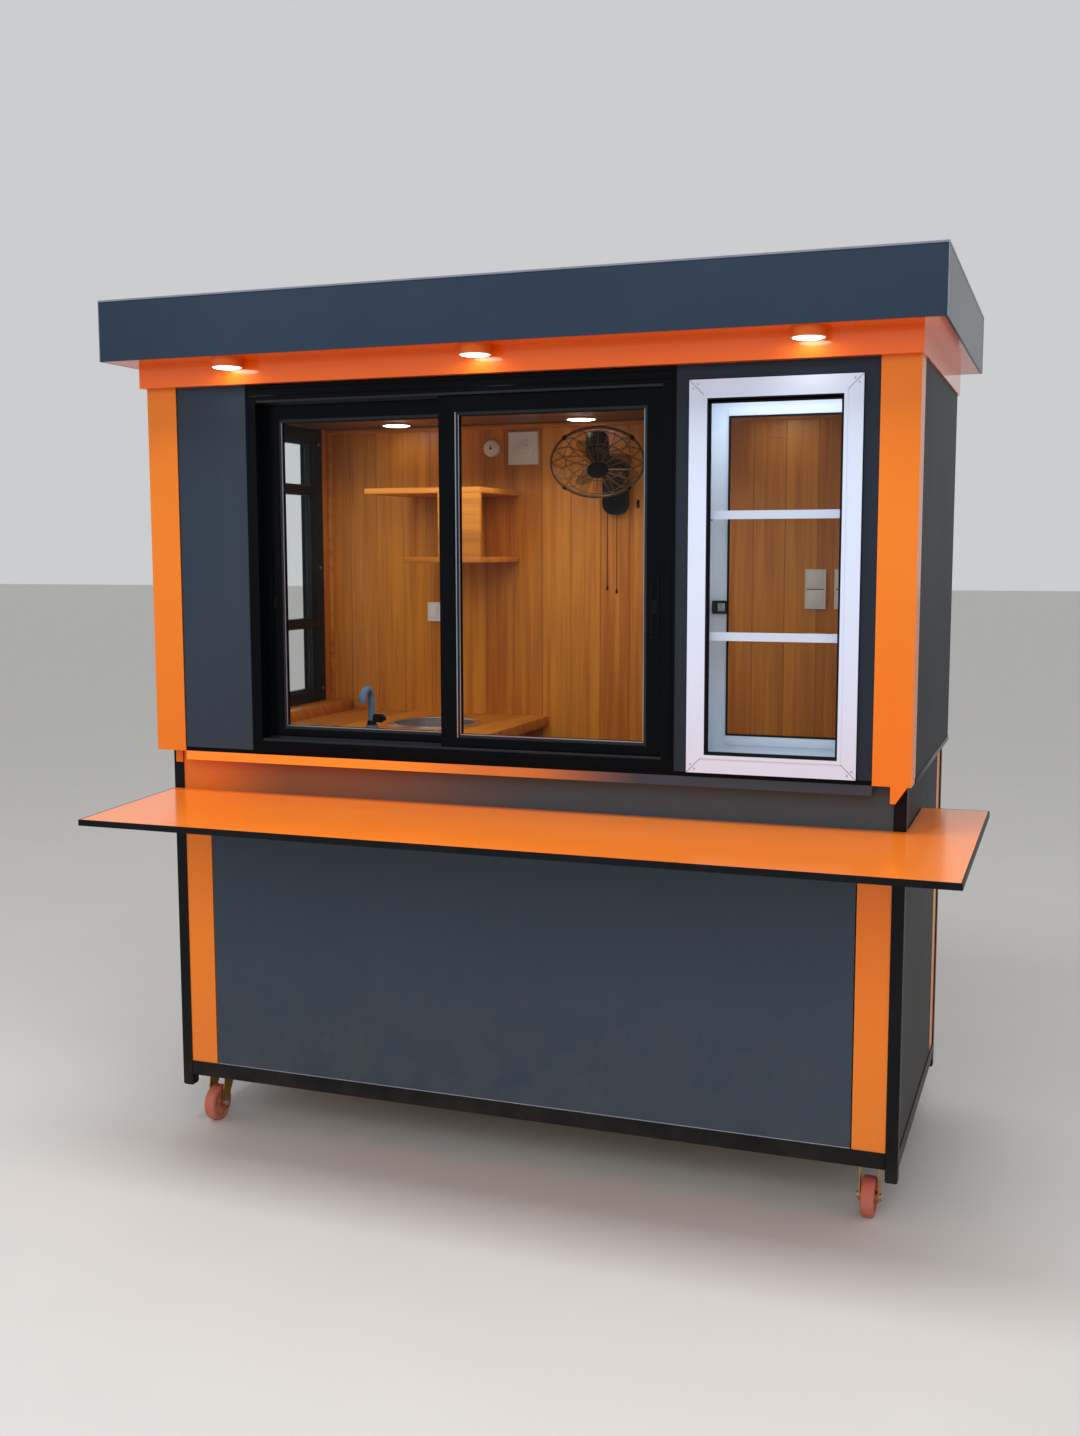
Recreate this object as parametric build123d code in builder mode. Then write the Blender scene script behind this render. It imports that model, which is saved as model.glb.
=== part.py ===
from build123d import *
from math import cos, pi, radians, sin, sqrt
import os

# Street kiosk on casters: a low steel-framed base, a serving counter across its front,
# a wider glazed upper body and a boxed flat roof. Millimetres, +Z up, the front faces -Y.
# Drawn from a point on the ground under the middle of the base frame's front face; each finished
# piece is then moved so that the origin is the bottom centre of the whole kiosk's box.

# Base frame
base_width = 2000.0
base_depth = 900.0
tube = 30.0
rail_underside = 146.0
rail_height = 40.0
post_foot = 117.0
joist_width = 40.0
joist_count = 4

# Lower walls
floor_thickness = 18.0
panel_recess = 3.0
strip_width = 81.0
joint_gap = 3.0
lining_thickness = 8.0

# Counter
counter_height = 973.0
counter_thickness = 15.0
counter_reach = 511.0
counter_left_cut = 64.0
counter_right_overhang = 166.0
counter_return = 361.0
edge_band = 4.0
bracket_length = 400.0
bracket_drop = 105.0
bracket_nose = 20.0
bracket_thickness = 5.0
bracket_end_inset = 70.0
bracket_count = 4

# Upper body
body_bottom = 1087.0
body_overhang_side = 14.0
body_overhang_front = 55.0
pilaster_width = 89.0
ledge_height = 24.0
ledge_reach = 52.0
sill_height = 11.0
sill_setback = 4.0
panel_setback = 4.0
panel_thickness = 30.0
header_bottom = 2061.0
header_height = 62.0
header_overhang_front = 80.0
header_overhang_side = 20.0
ceiling_underside = 2020.0
ceiling_thickness = 8.0

# Tab of the right pilaster, and the short one on the left, which hang over the post tops
tab_thickness = 4.0
tab_drop = 40.0
tab_inner_inset = 47.0
tab_tip_inset = 35.0
tab_corner_rise = 17.0
left_tab_inner_inset = 44.0
left_tab_outer_inset = 23.0

# Roof
fascia_height = 157.0
fascia_thickness = 6.0
roof_overhang_front = 173.0
roof_overhang_side = 76.0
roof_overhang_back = 36.0
soffit_thickness = 6.0
deck_thickness = 10.0
deck_drop = 8.0

# Service window: two sashes in one frame, the right one on the outer track
left_panel_width = 212.0
display_bay_width = 475.0
window_frame_depth = 73.0
window_jamb = 30.0
window_head = 40.0
window_sill = 26.0
sash_thickness = 24.0
track_gap = 4.0
outer_track_setback = 15.0
sash_stile = 42.0
sash_meeting_stile = 45.0
sash_top_rail = 48.0
sash_bottom_rail = 30.0
sash_overlap = 41.0
meeting_line_shift = -15.0
glass_thickness = 5.0

# Display window and its case
display_left_margin = 34.0
display_right_margin = 37.0
display_top = 2025.0
display_frame_width = 44.0
display_frame_proud = 3.0
display_frame_depth = 36.0
case_depth = 187.0
case_wall = 6.0
case_rear_frame = 50.0
case_rear_depth = 20.0
shelf_bar_height = 20.0
shelf_bar_depth = 8.0
shelf_thickness = 6.0
shelf_heights = (1424.0, 1712.0)

# Side window in the left wall
side_window_width = 485.0
side_window_rear_gap = 47.0
side_window_bottom = 1136.0
side_window_top = 2018.0
side_window_frame_width = 45.0
side_window_proud = 2.0
side_window_bar = 22.0
side_window_bar_heights = (1398.0, 1824.0)

# Door in the back wall
door_left = 45.0
door_right = 605.0
door_head = 1985.0
door_jamb = 28.0
door_thickness = 30.0
door_clearance = 0.5
door_proud = 4.0
handle_height = 1050.0
handle_length = 120.0
handle_stand = 38.0
handle_radius = 8.0
handle_post_radius = 6.0
handle_post_inset = 14.0

# Fittings inside
worktop_height = 1113.0
worktop_thickness = 18.0
worktop_right = -200.0
worktop_depth = 522.0
sink_x = -456.0
sink_setback = 302.0
sink_bowl_radius = 125.0
sink_flange_radius = 143.0
sink_depth = 140.0
sink_wall = 2.0
tap_x = -578.0
tap_setback = 477.0
tap_pipe_radius = 10.0
tap_bend_radius = 28.0
tap_crown_height = 127.0
tap_base_radius = 18.0
tap_base_height = 10.0
tap_spout_drop = 4.0
shelf_left = -758.0
lower_shelf_left = -627.0
shelf_divider = -431.0
shelf_right = -236.0
shelf_top = 1822.0
shelf_bottom = 1591.0
shelf_depth = 166.0
shelf_board = 16.0

# Wall fan
fan_x = 33.0
fan_reach = 222.0
fan_z = 1882.0
fan_tilt = 46.0
fan_turn = 19.0
guard_radius = 135.0
guard_depth = 56.0
guard_ring_radius = 96.0
guard_wire = 1.0
guard_rim_wire = 3.0
guard_spokes = 16
guard_hub_radius = 29.0
guard_hub_thickness = 5.0
motor_radius = 34.0
motor_length = 74.0
motor_gap = 6.0
blade_count = 3
blade_radius = 98.0
blade_width = 56.0
blade_thickness = 3.0
blade_pitch = 24.0
blade_hub_radius = 20.0
blade_hub_length = 24.0
fan_shaft_radius = 4.0
fan_running_clearance = 0.05
fan_box_width = 72.0
fan_box_height = 165.0
fan_box_depth = 46.0
fan_box_bottom = 1738.0
fan_box_x = 27.0
fan_neck_radius = 14.0

# Lights
light_radius = 45.0
light_body_radius = 38.0
light_flange = 3.0
light_body_height = 16.0
soffit_light_xs = (-723.0, -32.0, 772.0)
soffit_light_setback = 51.0
soffit_light_radius = 39.0
soffit_light_body_radius = 33.0
soffit_light_drop = 23.0
ceiling_light_xs = (-655.0, -50.0, 540.0)
ceiling_light_setback = 125.0

# Casters
wheel_radius = 50.0
wheel_width = 32.0
wheel_edge_radius = 7.0
wheel_recess = 6.0
wheel_rim_radius = 37.0
wheel_hub_radius = 14.0
caster_inset = 73.0
caster_setback = 89.0
caster_trail = 30.0
caster_plate_width = 80.0
caster_plate_length = 94.0
caster_plate_thickness = 4.0
race_radius = 27.0
race_height = 11.7
running_gap = 0.3
fork_thickness = 4.0
fork_leg_thickness = 3.0
fork_side_gap = 6.0
fork_crown_half = 27.0
fork_foot_radius = 13.0
king_pin_radius = 6.0
king_pin_head_radius = 10.0
king_pin_head_height = 4.0
axle_radius = 5.0
axle_head_radius = 9.0
axle_head_thickness = 5.0
shaft_clearance = 0.05

# Wall plates: centre x, centre z, width, height
plate_thickness = 9.0
square_plate = (-279.0, 1945.0, 96.0, 100.0)
round_plate = (-384.0, 1947.0, 26.0)
socket_plates = ((-567.0, 1436.0, 80.0, 60.0), (633.0, 1516.0, 60.0, 115.0), (718.0, 1516.0, 60.0, 115.0))

# Worked out from the sizes above
half_base = base_width / 2
inner_x = half_base - tube
inner_back = base_depth - tube
rail_top = rail_underside + rail_height
floor_top = rail_top + floor_thickness
strip_inner = inner_x - strip_width
panel_half = strip_inner - joint_gap
counter_underside = counter_height - counter_thickness
half_body = half_base + body_overhang_side
body_front = -body_overhang_front
pilaster_inner = half_body - pilaster_width
sill_top = body_bottom + sill_height
header_top = header_bottom + header_height
half_header = half_base + header_overhang_side
header_back = base_depth + header_overhang_side / 2
lining_x = inner_x - lining_thickness
lining_back_face = inner_back - lining_thickness
lining_front_face = tube + lining_thickness
half_roof = half_base + roof_overhang_side
roof_front = -roof_overhang_front
roof_back = base_depth + roof_overhang_back
roof_top = header_top + fascia_height
window_left = -pilaster_inner + left_panel_width
window_right = pilaster_inner - display_bay_width
display_left = window_right + display_left_margin
display_right = pilaster_inner - display_right_margin
side_window_back = lining_back_face - side_window_rear_gap
side_window_front = side_window_back - side_window_width
worktop_front = lining_back_face - worktop_depth
sink_y = lining_back_face - sink_setback
tap_y = lining_back_face - tap_setback
fan_y = lining_back_face - fan_reach
ceiling_light_y = lining_back_face - ceiling_light_setback
caster_x = half_base - caster_inset
bracket_spacing = 2 * (half_base - bracket_end_inset) / (bracket_count - 1)
box_middle_x = (half_base + counter_right_overhang - half_roof) / 2
box_middle_y = (base_depth + handle_stand + handle_radius - counter_reach) / 2


def slab(x0, x1, y0, y1, z0, z1):
    """Add a block between two corners to the piece being built."""
    with BuildSketch(Plane.XY.offset(z0)) as footprint:
        with Locations(((x0 + x1) / 2, (y0 + y1) / 2)):
            Rectangle(x1 - x0, y1 - y0)
    extrude(footprint.sketch, amount=z1 - z0)


def seen_from_front(y_back):
    """Give a plane at a depth, drawn with x to the right and z up, that extrudes to the front."""
    return Plane.XZ.offset(-y_back)


def pane(a0, a1, b0, b1, mode=Mode.ADD):
    """Add a rectangle between two corners to the sketch being drawn."""
    with Locations(((a0 + a1) / 2, (b0 + b1) / 2)):
        Rectangle(a1 - a0, b1 - b0, mode=mode)


def finish(piece, name):
    """Move a finished piece to the kiosk's own origin, label it and write its file."""
    placed = piece.part.moved(Location((-box_middle_x, -box_middle_y, 0)))
    placed.label = name
    export_step(placed, f"parts/{name}.step")


os.makedirs("parts", exist_ok=True)

# Steel posts at the four corners of the base, with stubs below the bottom rail
with BuildPart() as corner_posts:
    slab(inner_x, half_base, 0, tube, post_foot, body_bottom)
    slab(inner_x, half_base, inner_back, base_depth, post_foot, body_bottom)
    mirror(about=Plane.YZ)
finish(corner_posts, "corner_posts")

# Bottom rails between the posts
with BuildPart() as bottom_rails:
    slab(-inner_x, inner_x, 0, tube, rail_underside, rail_top)
    slab(-inner_x, inner_x, inner_back, base_depth, rail_underside, rail_top)
    slab(inner_x, half_base, tube, inner_back, rail_underside, rail_top)
    slab(-half_base, -inner_x, tube, inner_back, rail_underside, rail_top)
finish(bottom_rails, "bottom_rails")

# Joists under the floor; the casters bolt up to the outer two
with BuildPart() as floor_joists:
    for step in range(joist_count):
        x = caster_x * (2 * step / (joist_count - 1) - 1)
        slab(x - joist_width / 2, x + joist_width / 2, tube, inner_back, rail_underside, rail_top)
finish(floor_joists, "floor_joists")

with BuildPart() as floor_board:
    slab(-inner_x, inner_x, tube, inner_back, rail_top, floor_top)
finish(floor_board, "floor_board")

# Lower walls: one wide grey panel in front, one on each side
with BuildPart() as lower_front_panel:
    slab(-panel_half, panel_half, panel_recess, tube, rail_top, counter_underside)
finish(lower_front_panel, "lower_front_panel")

with BuildPart() as lower_side_panels:
    slab(inner_x, half_base - panel_recess, tube, inner_back - strip_width - joint_gap, rail_top, body_bottom)
    mirror(about=Plane.YZ)
finish(lower_side_panels, "lower_side_panels")

# Orange strips at the ends of the front, at the back of each side and at the ends of the back
with BuildPart() as orange_strips:
    slab(strip_inner, inner_x, panel_recess, tube, rail_top, counter_underside)
    slab(inner_x, half_base - panel_recess, inner_back - strip_width, inner_back, rail_top, body_bottom)
    slab(strip_inner, inner_x - joint_gap, inner_back, base_depth - panel_recess, rail_top, header_bottom)
    mirror(about=Plane.YZ)
finish(orange_strips, "orange_strips")

# Counter: the board runs across the front, is cut back at its left end and returns along the right side
counter_slope = counter_left_cut / counter_reach
edge_shift = edge_band * sqrt(1 + counter_slope**2)
counter_right = half_base + counter_right_overhang
board_front = -counter_reach + edge_band
board_left_front = -half_base + edge_shift - board_front * counter_slope
with BuildPart() as counter_top:
    with BuildSketch(Plane.XY.offset(counter_underside)):
        with BuildLine():
            Polyline(
                (-half_base + edge_shift, 0),
                (board_left_front, board_front),
                (counter_right - edge_band, board_front),
                (counter_right - edge_band, counter_return - edge_band),
                (half_base, counter_return - edge_band),
                (half_base, 0),
                (inner_x, 0),
                (inner_x, panel_recess),
                (-inner_x, panel_recess),
                (-inner_x, 0),
                close=True,
            )
        make_face()
    extrude(amount=counter_thickness)
finish(counter_top, "counter_top")

# Black steel edge of the counter, along its free sides
with BuildPart() as counter_edge:
    with BuildSketch(Plane.XY.offset(counter_underside)):
        with BuildLine():
            Polyline(
                (-half_base, 0),
                (-half_base + counter_left_cut, -counter_reach),
                (counter_right, -counter_reach),
                (counter_right, counter_return),
                (half_base, counter_return),
                (half_base, counter_return - edge_band),
                (counter_right - edge_band, counter_return - edge_band),
                (counter_right - edge_band, board_front),
                (board_left_front, board_front),
                (-half_base + edge_shift, 0),
                close=True,
            )
        make_face()
    extrude(amount=counter_thickness)
finish(counter_edge, "counter_edge")

# Gusset brackets under the counter
with BuildPart() as counter_brackets:
    first_bracket = -bracket_spacing * (bracket_count - 1) / 2
    for step in range(bracket_count):
        bracket_x = first_bracket + step * bracket_spacing - bracket_thickness / 2
        with BuildSketch(Plane.YZ.offset(bracket_x)):
            with BuildLine():
                Polyline(
                    (panel_recess, counter_underside),
                    (panel_recess, counter_underside - bracket_drop),
                    (-tube, counter_underside - bracket_drop),
                    (-bracket_length, counter_underside - bracket_nose),
                    (-bracket_length, counter_underside),
                    close=True,
                )
            make_face()
        extrude(amount=bracket_thickness)
finish(counter_brackets, "counter_brackets")

# Apron behind and above the counter, and the ledge strip that projects at its top
with BuildPart() as apron_panel:
    slab(-inner_x, inner_x, panel_recess, tube, counter_underside, body_bottom)
finish(apron_panel, "apron_panel")

with BuildPart() as ledge_strip:
    slab(-pilaster_inner, pilaster_inner, -ledge_reach, panel_recess, body_bottom - ledge_height, body_bottom)
finish(ledge_strip, "ledge_strip")

with BuildPart() as sill_rail:
    slab(-pilaster_inner, pilaster_inner, body_front + sill_setback, tube, body_bottom, sill_top)
finish(sill_rail, "sill_rail")

# Front corners of the upper body. The tabs at the foot hang over the post tops.
with BuildPart() as pilaster_right:
    slab(pilaster_inner, half_body, body_front, tube, body_bottom, header_bottom)
    with BuildSketch(seen_from_front(body_front + tab_thickness)):
        with BuildLine():
            Polyline(
                (half_body - tab_inner_inset, body_bottom),
                (half_body - tab_inner_inset, body_bottom - tab_drop),
                (half_body - tab_tip_inset, body_bottom - tab_drop),
                (half_body - tab_corner_rise / 2, body_bottom),
                close=True,
            )
        make_face()
    extrude(amount=tab_thickness)
finish(pilaster_right, "pilaster_right")

with BuildPart() as pilaster_left:
    slab(-half_body, -pilaster_inner, body_front, tube, body_bottom, header_bottom)
    slab(-half_body + left_tab_outer_inset, -half_body + left_tab_inner_inset, -tab_thickness, 0,
         body_bottom - tab_drop, body_bottom)
finish(pilaster_left, "pilaster_left")

# Grey panel between the left pilaster and the service window
panel_front = body_front + panel_setback
with BuildPart() as left_front_panel:
    slab(-pilaster_inner, window_left, panel_front, panel_front + panel_thickness, sill_top, header_bottom)
finish(left_front_panel, "left_front_panel")

# Grey surround over and beside the display window
with BuildPart() as display_surround:
    with BuildSketch(seen_from_front(panel_front + panel_thickness)):
        pane(window_right, pilaster_inner, sill_top, header_bottom)
        pane(display_left, display_right, sill_top, display_top, mode=Mode.SUBTRACT)
    extrude(amount=panel_thickness)
finish(display_surround, "display_surround")

# Service window
opening_left = window_left + window_jamb
opening_right = window_right - window_jamb
opening_bottom = sill_top + window_sill
opening_top = header_bottom - window_head
with BuildPart() as window_frame:
    with BuildSketch(seen_from_front(body_front + window_frame_depth)):
        pane(window_left, window_right, sill_top, header_bottom)
        pane(opening_left, opening_right, opening_bottom, opening_top, mode=Mode.SUBTRACT)
    extrude(amount=window_frame_depth)
finish(window_frame, "window_frame")

meeting_line = (opening_left + opening_right) / 2 + meeting_line_shift
outer_track_back = body_front + outer_track_setback + sash_thickness
inner_track_back = outer_track_back + track_gap + sash_thickness
right_sash_left = meeting_line - sash_overlap / 2
left_sash_right = meeting_line + sash_overlap / 2
glass_bottom = opening_bottom + sash_bottom_rail
glass_top = opening_top - sash_top_rail
with BuildPart() as window_sash_right:
    with BuildSketch(seen_from_front(outer_track_back)):
        pane(right_sash_left, opening_right, opening_bottom, opening_top)
        pane(right_sash_left + sash_meeting_stile, opening_right - sash_stile, glass_bottom, glass_top,
             mode=Mode.SUBTRACT)
    extrude(amount=sash_thickness)
finish(window_sash_right, "window_sash_right")

with BuildPart() as window_sash_left:
    with BuildSketch(seen_from_front(inner_track_back)):
        pane(opening_left, left_sash_right, opening_bottom, opening_top)
        pane(opening_left + sash_stile, left_sash_right - sash_meeting_stile, glass_bottom, glass_top,
             mode=Mode.SUBTRACT)
    extrude(amount=sash_thickness)
finish(window_sash_left, "window_sash_left")

glass_seat = (sash_thickness - glass_thickness) / 2
with BuildPart() as window_glass:
    with BuildSketch(seen_from_front(outer_track_back - glass_seat)):
        pane(right_sash_left + sash_meeting_stile, opening_right - sash_stile, glass_bottom, glass_top)
    extrude(amount=glass_thickness)
    with BuildSketch(seen_from_front(inner_track_back - glass_seat)):
        pane(opening_left + sash_stile, left_sash_right - sash_meeting_stile, glass_bottom, glass_top)
    extrude(amount=glass_thickness)
finish(window_glass, "window_glass")

# Display window, its case with a framed rear opening, two glass shelves with front bars
display_front = body_front - display_frame_proud
display_back = display_front + display_frame_depth
with BuildPart() as display_frame:
    with BuildSketch(seen_from_front(display_back)):
        pane(display_left, display_right, sill_top, display_top)
        pane(display_left + display_frame_width, display_right - display_frame_width,
             sill_top + display_frame_width, display_top - display_frame_width, mode=Mode.SUBTRACT)
    extrude(amount=display_frame_depth)
finish(display_frame, "display_frame")

case_back = display_back + case_depth
rear_left = display_left + case_rear_frame
rear_right = display_right - case_rear_frame
rear_bottom = sill_top + display_frame_width
rear_top = display_top - display_frame_width
with BuildPart() as display_case:
    with BuildSketch(seen_from_front(case_back)):
        pane(display_left, display_right, sill_top, display_top)
        pane(rear_left, rear_right, rear_bottom, rear_top, mode=Mode.SUBTRACT)
    extrude(amount=case_rear_depth)
    with BuildSketch(seen_from_front(case_back - case_rear_depth)):
        pane(display_left, display_right, sill_top, display_top)
        pane(display_left + case_wall, display_right - case_wall, sill_top + case_wall, display_top - case_wall,
             mode=Mode.SUBTRACT)
    extrude(amount=case_depth - case_rear_depth)
finish(display_case, "display_case")

with BuildPart() as display_glass:
    with BuildSketch(seen_from_front((display_front + display_back + glass_thickness) / 2)):
        pane(display_left + display_frame_width, display_right - display_frame_width,
             sill_top + display_frame_width, display_top - display_frame_width)
    extrude(amount=glass_thickness)
    with BuildSketch(seen_from_front(case_back - (case_rear_depth - glass_thickness) / 2)):
        pane(rear_left, rear_right, rear_bottom, rear_top)
    extrude(amount=glass_thickness)
finish(display_glass, "display_glass")

shelf_front = display_back + shelf_bar_depth
with BuildPart() as display_shelves:
    for height in shelf_heights:
        slab(display_left + case_wall, display_right - case_wall, shelf_front, case_back - case_rear_depth,
             height - shelf_thickness / 2, height + shelf_thickness / 2)
finish(display_shelves, "display_shelves")

with BuildPart() as shelf_bars:
    for height in shelf_heights:
        slab(display_left + case_wall, display_right - case_wall, display_back, shelf_front,
             height - shelf_bar_height / 2, height + shelf_bar_height / 2)
finish(shelf_bars, "shelf_bars")

# Side walls of the upper body
with BuildPart() as left_wall:
    with BuildSketch(Plane.YZ.offset(-half_body)):
        pane(tube, base_depth, body_bottom, header_bottom)
        pane(side_window_front, side_window_back, side_window_bottom, side_window_top, mode=Mode.SUBTRACT)
    extrude(amount=half_body - inner_x)
finish(left_wall, "left_wall")

with BuildPart() as right_wall:
    slab(inner_x, half_body, tube, base_depth, body_bottom, header_bottom)
finish(right_wall, "right_wall")

side_frame_outer = -half_body - side_window_proud
side_frame_inner = -lining_x + side_window_proud
with BuildPart() as side_window_frame:
    with BuildSketch(Plane.YZ.offset(side_frame_outer)):
        pane(side_window_front, side_window_back, side_window_bottom, side_window_top)
        pane(side_window_front + side_window_frame_width, side_window_back - side_window_frame_width,
             side_window_bottom + side_window_frame_width, side_window_top - side_window_frame_width,
             mode=Mode.SUBTRACT)
        for height in side_window_bar_heights:
            pane(side_window_front, side_window_back, height - side_window_bar / 2, height + side_window_bar / 2)
    extrude(amount=side_frame_inner - side_frame_outer)
finish(side_window_frame, "side_window_frame")

side_pane_edges = [side_window_bottom + side_window_frame_width]
for height in side_window_bar_heights:
    side_pane_edges += [height - side_window_bar / 2, height + side_window_bar / 2]
side_pane_edges.append(side_window_top - side_window_frame_width)
with BuildPart() as side_window_glass:
    with BuildSketch(Plane.YZ.offset((side_frame_outer + side_frame_inner - glass_thickness) / 2)):
        for low, high in zip(side_pane_edges[::2], side_pane_edges[1::2]):
            pane(side_window_front + side_window_frame_width, side_window_back - side_window_frame_width, low, high)
    extrude(amount=glass_thickness)
finish(side_window_glass, "side_window_glass")

# Back wall with its door
with BuildPart() as back_wall:
    with BuildSketch(seen_from_front(base_depth - panel_recess)):
        pane(-panel_half, panel_half, rail_top, header_bottom)
        pane(door_left, door_right, rail_top, door_head, mode=Mode.SUBTRACT)
    extrude(amount=tube - panel_recess)
finish(back_wall, "back_wall")

with BuildPart() as door_frame:
    with BuildSketch(seen_from_front(base_depth + door_proud)):
        pane(door_left, door_right, rail_top, door_head)
        pane(door_left + door_jamb, door_right - door_jamb, floor_top, door_head - door_jamb, mode=Mode.SUBTRACT)
    extrude(amount=base_depth + door_proud - inner_back)
finish(door_frame, "door_frame")

door_leaf_left = door_left + door_jamb + door_clearance
door_leaf_right = door_right - door_jamb - door_clearance
with BuildPart() as entrance_door:
    with BuildSketch(seen_from_front(base_depth)):
        pane(door_leaf_left, door_leaf_right, floor_top + door_clearance, door_head - door_jamb - door_clearance)
    extrude(amount=door_thickness)
    handle_x = door_leaf_left + door_jamb * 2
    with BuildSketch(Plane.XZ.offset(-base_depth)):
        for end in (-1, 1):
            with Locations((handle_x, handle_height + end * (handle_length / 2 - handle_post_inset))):
                Circle(handle_post_radius)
    extrude(amount=-handle_stand)
    with BuildSketch(Plane.XY.offset(handle_height - handle_length / 2)):
        with Locations((handle_x, base_depth + handle_stand)):
            Circle(handle_radius)
    extrude(amount=handle_length)
finish(entrance_door, "entrance_door")

# Wood on the inside of the door, in line with the lining of the wall
with BuildPart() as door_lining:
    with BuildSketch(seen_from_front(base_depth - door_thickness)):
        pane(door_leaf_left, door_leaf_right, floor_top + door_clearance, door_head - door_jamb - door_clearance)
    extrude(amount=lining_thickness)
finish(door_lining, "door_lining")

# Wood lining
with BuildPart() as lining_back:
    with BuildSketch(seen_from_front(inner_back)):
        pane(-lining_x, lining_x, floor_top, header_bottom)
        pane(door_left + door_jamb, door_right - door_jamb, floor_top, door_head - door_jamb, mode=Mode.SUBTRACT)
    extrude(amount=lining_thickness)
finish(lining_back, "lining_back")

with BuildPart() as lining_sides:
    with BuildSketch(Plane.YZ.offset(-inner_x)):
        pane(lining_front_face, inner_back, floor_top, header_bottom)
        pane(side_window_front, side_window_back, side_window_bottom, side_window_top, mode=Mode.SUBTRACT)
    extrude(amount=lining_thickness)
    slab(lining_x, inner_x, lining_front_face, inner_back, floor_top, header_bottom)
finish(lining_sides, "lining_sides")

with BuildPart() as lining_front:
    slab(-inner_x, inner_x, tube, lining_front_face, floor_top, body_bottom)
finish(lining_front, "lining_front")

# The ceiling board is notched round the top of the display case
with BuildPart() as ceiling_board:
    with BuildSketch(Plane.XY.offset(ceiling_underside)):
        pane(-lining_x, lining_x, lining_front_face, lining_back_face)
        pane(display_left, display_right, lining_front_face, case_back, mode=Mode.SUBTRACT)
    extrude(amount=ceiling_thickness)
finish(ceiling_board, "ceiling_board")

# Orange band under the roof, all the way round
with BuildPart() as header_band:
    with BuildSketch(Plane.XY.offset(header_bottom)):
        pane(-half_header, half_header, -header_overhang_front, header_back)
        pane(-inner_x, inner_x, tube, inner_back, mode=Mode.SUBTRACT)
    extrude(amount=header_height)
finish(header_band, "header_band")

# Roof: fascia box, orange soffit with its light holes, and the deck
soffit_light_y = roof_front + soffit_light_setback
with BuildPart() as soffit:
    with BuildSketch(Plane.XY.offset(header_top)):
        pane(-half_roof + fascia_thickness, half_roof - fascia_thickness,
             roof_front + fascia_thickness, roof_back - fascia_thickness)
        pane(-inner_x, inner_x, tube, inner_back, mode=Mode.SUBTRACT)
        with Locations(*[(x, soffit_light_y) for x in soffit_light_xs]):
            Circle(soffit_light_body_radius, mode=Mode.SUBTRACT)
    extrude(amount=soffit_thickness)
finish(soffit, "soffit")

with BuildPart() as roof_fascia:
    with BuildSketch(Plane.XY.offset(header_top)):
        pane(-half_roof, half_roof, roof_front, roof_back)
        pane(-half_roof + fascia_thickness, half_roof - fascia_thickness,
             roof_front + fascia_thickness, roof_back - fascia_thickness, mode=Mode.SUBTRACT)
    extrude(amount=fascia_height)
finish(roof_fascia, "roof_fascia")

with BuildPart() as roof_deck:
    slab(-half_roof + fascia_thickness, half_roof - fascia_thickness, roof_front + fascia_thickness,
         roof_back - fascia_thickness, roof_top - deck_drop - deck_thickness, roof_top - deck_drop)
finish(roof_deck, "roof_deck")

# Round lights: three in the soffit, three under the ceiling
with BuildPart() as led_lights:
    soffit_light_places = [(x, soffit_light_y) for x in soffit_light_xs]
    ceiling_light_places = [(x, ceiling_light_y) for x in ceiling_light_xs]
    with BuildSketch(Plane.XY.offset(header_top - soffit_light_drop)):
        with Locations(*soffit_light_places):
            Circle(soffit_light_radius)
    extrude(amount=soffit_light_drop)
    with BuildSketch(Plane.XY.offset(header_top)):
        with Locations(*soffit_light_places):
            Circle(soffit_light_body_radius)
    extrude(amount=light_body_height)
    with BuildSketch(Plane.XY.offset(ceiling_underside - light_flange)):
        with Locations(*ceiling_light_places):
            Circle(light_radius)
    extrude(amount=light_flange)
finish(led_lights, "led_lights")

# Worktop with its sink and tap
with BuildPart() as worktop:
    with BuildSketch(Plane.XY.offset(worktop_height - worktop_thickness)):
        pane(-lining_x, worktop_right, worktop_front, lining_back_face)
        with Locations((sink_x, sink_y)):
            Circle(sink_bowl_radius, mode=Mode.SUBTRACT)
    extrude(amount=worktop_thickness)
finish(worktop, "worktop")

bowl_floor = worktop_height - sink_depth
bowl_corner = sink_bowl_radius / 3
with BuildPart() as sink:
    with BuildSketch(Plane.XZ.offset(-sink_y)):
        with BuildLine():
            Polyline(
                (sink_x, bowl_floor + sink_wall),
                (sink_x + sink_bowl_radius - bowl_corner, bowl_floor + sink_wall),
                (sink_x + sink_bowl_radius - sink_wall, bowl_floor + bowl_corner),
                (sink_x + sink_bowl_radius - sink_wall, worktop_height + sink_wall),
                (sink_x + sink_flange_radius, worktop_height + sink_wall),
                (sink_x + sink_flange_radius, worktop_height),
                (sink_x + sink_bowl_radius, worktop_height),
                (sink_x + sink_bowl_radius, bowl_floor + bowl_corner - sink_wall),
                (sink_x + sink_bowl_radius - bowl_corner + sink_wall, bowl_floor),
                (sink_x, bowl_floor),
                close=True,
            )
        make_face()
    revolve(axis=Axis((sink_x, sink_y, 0), (0, 0, 1)))
finish(sink, "sink")

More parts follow.
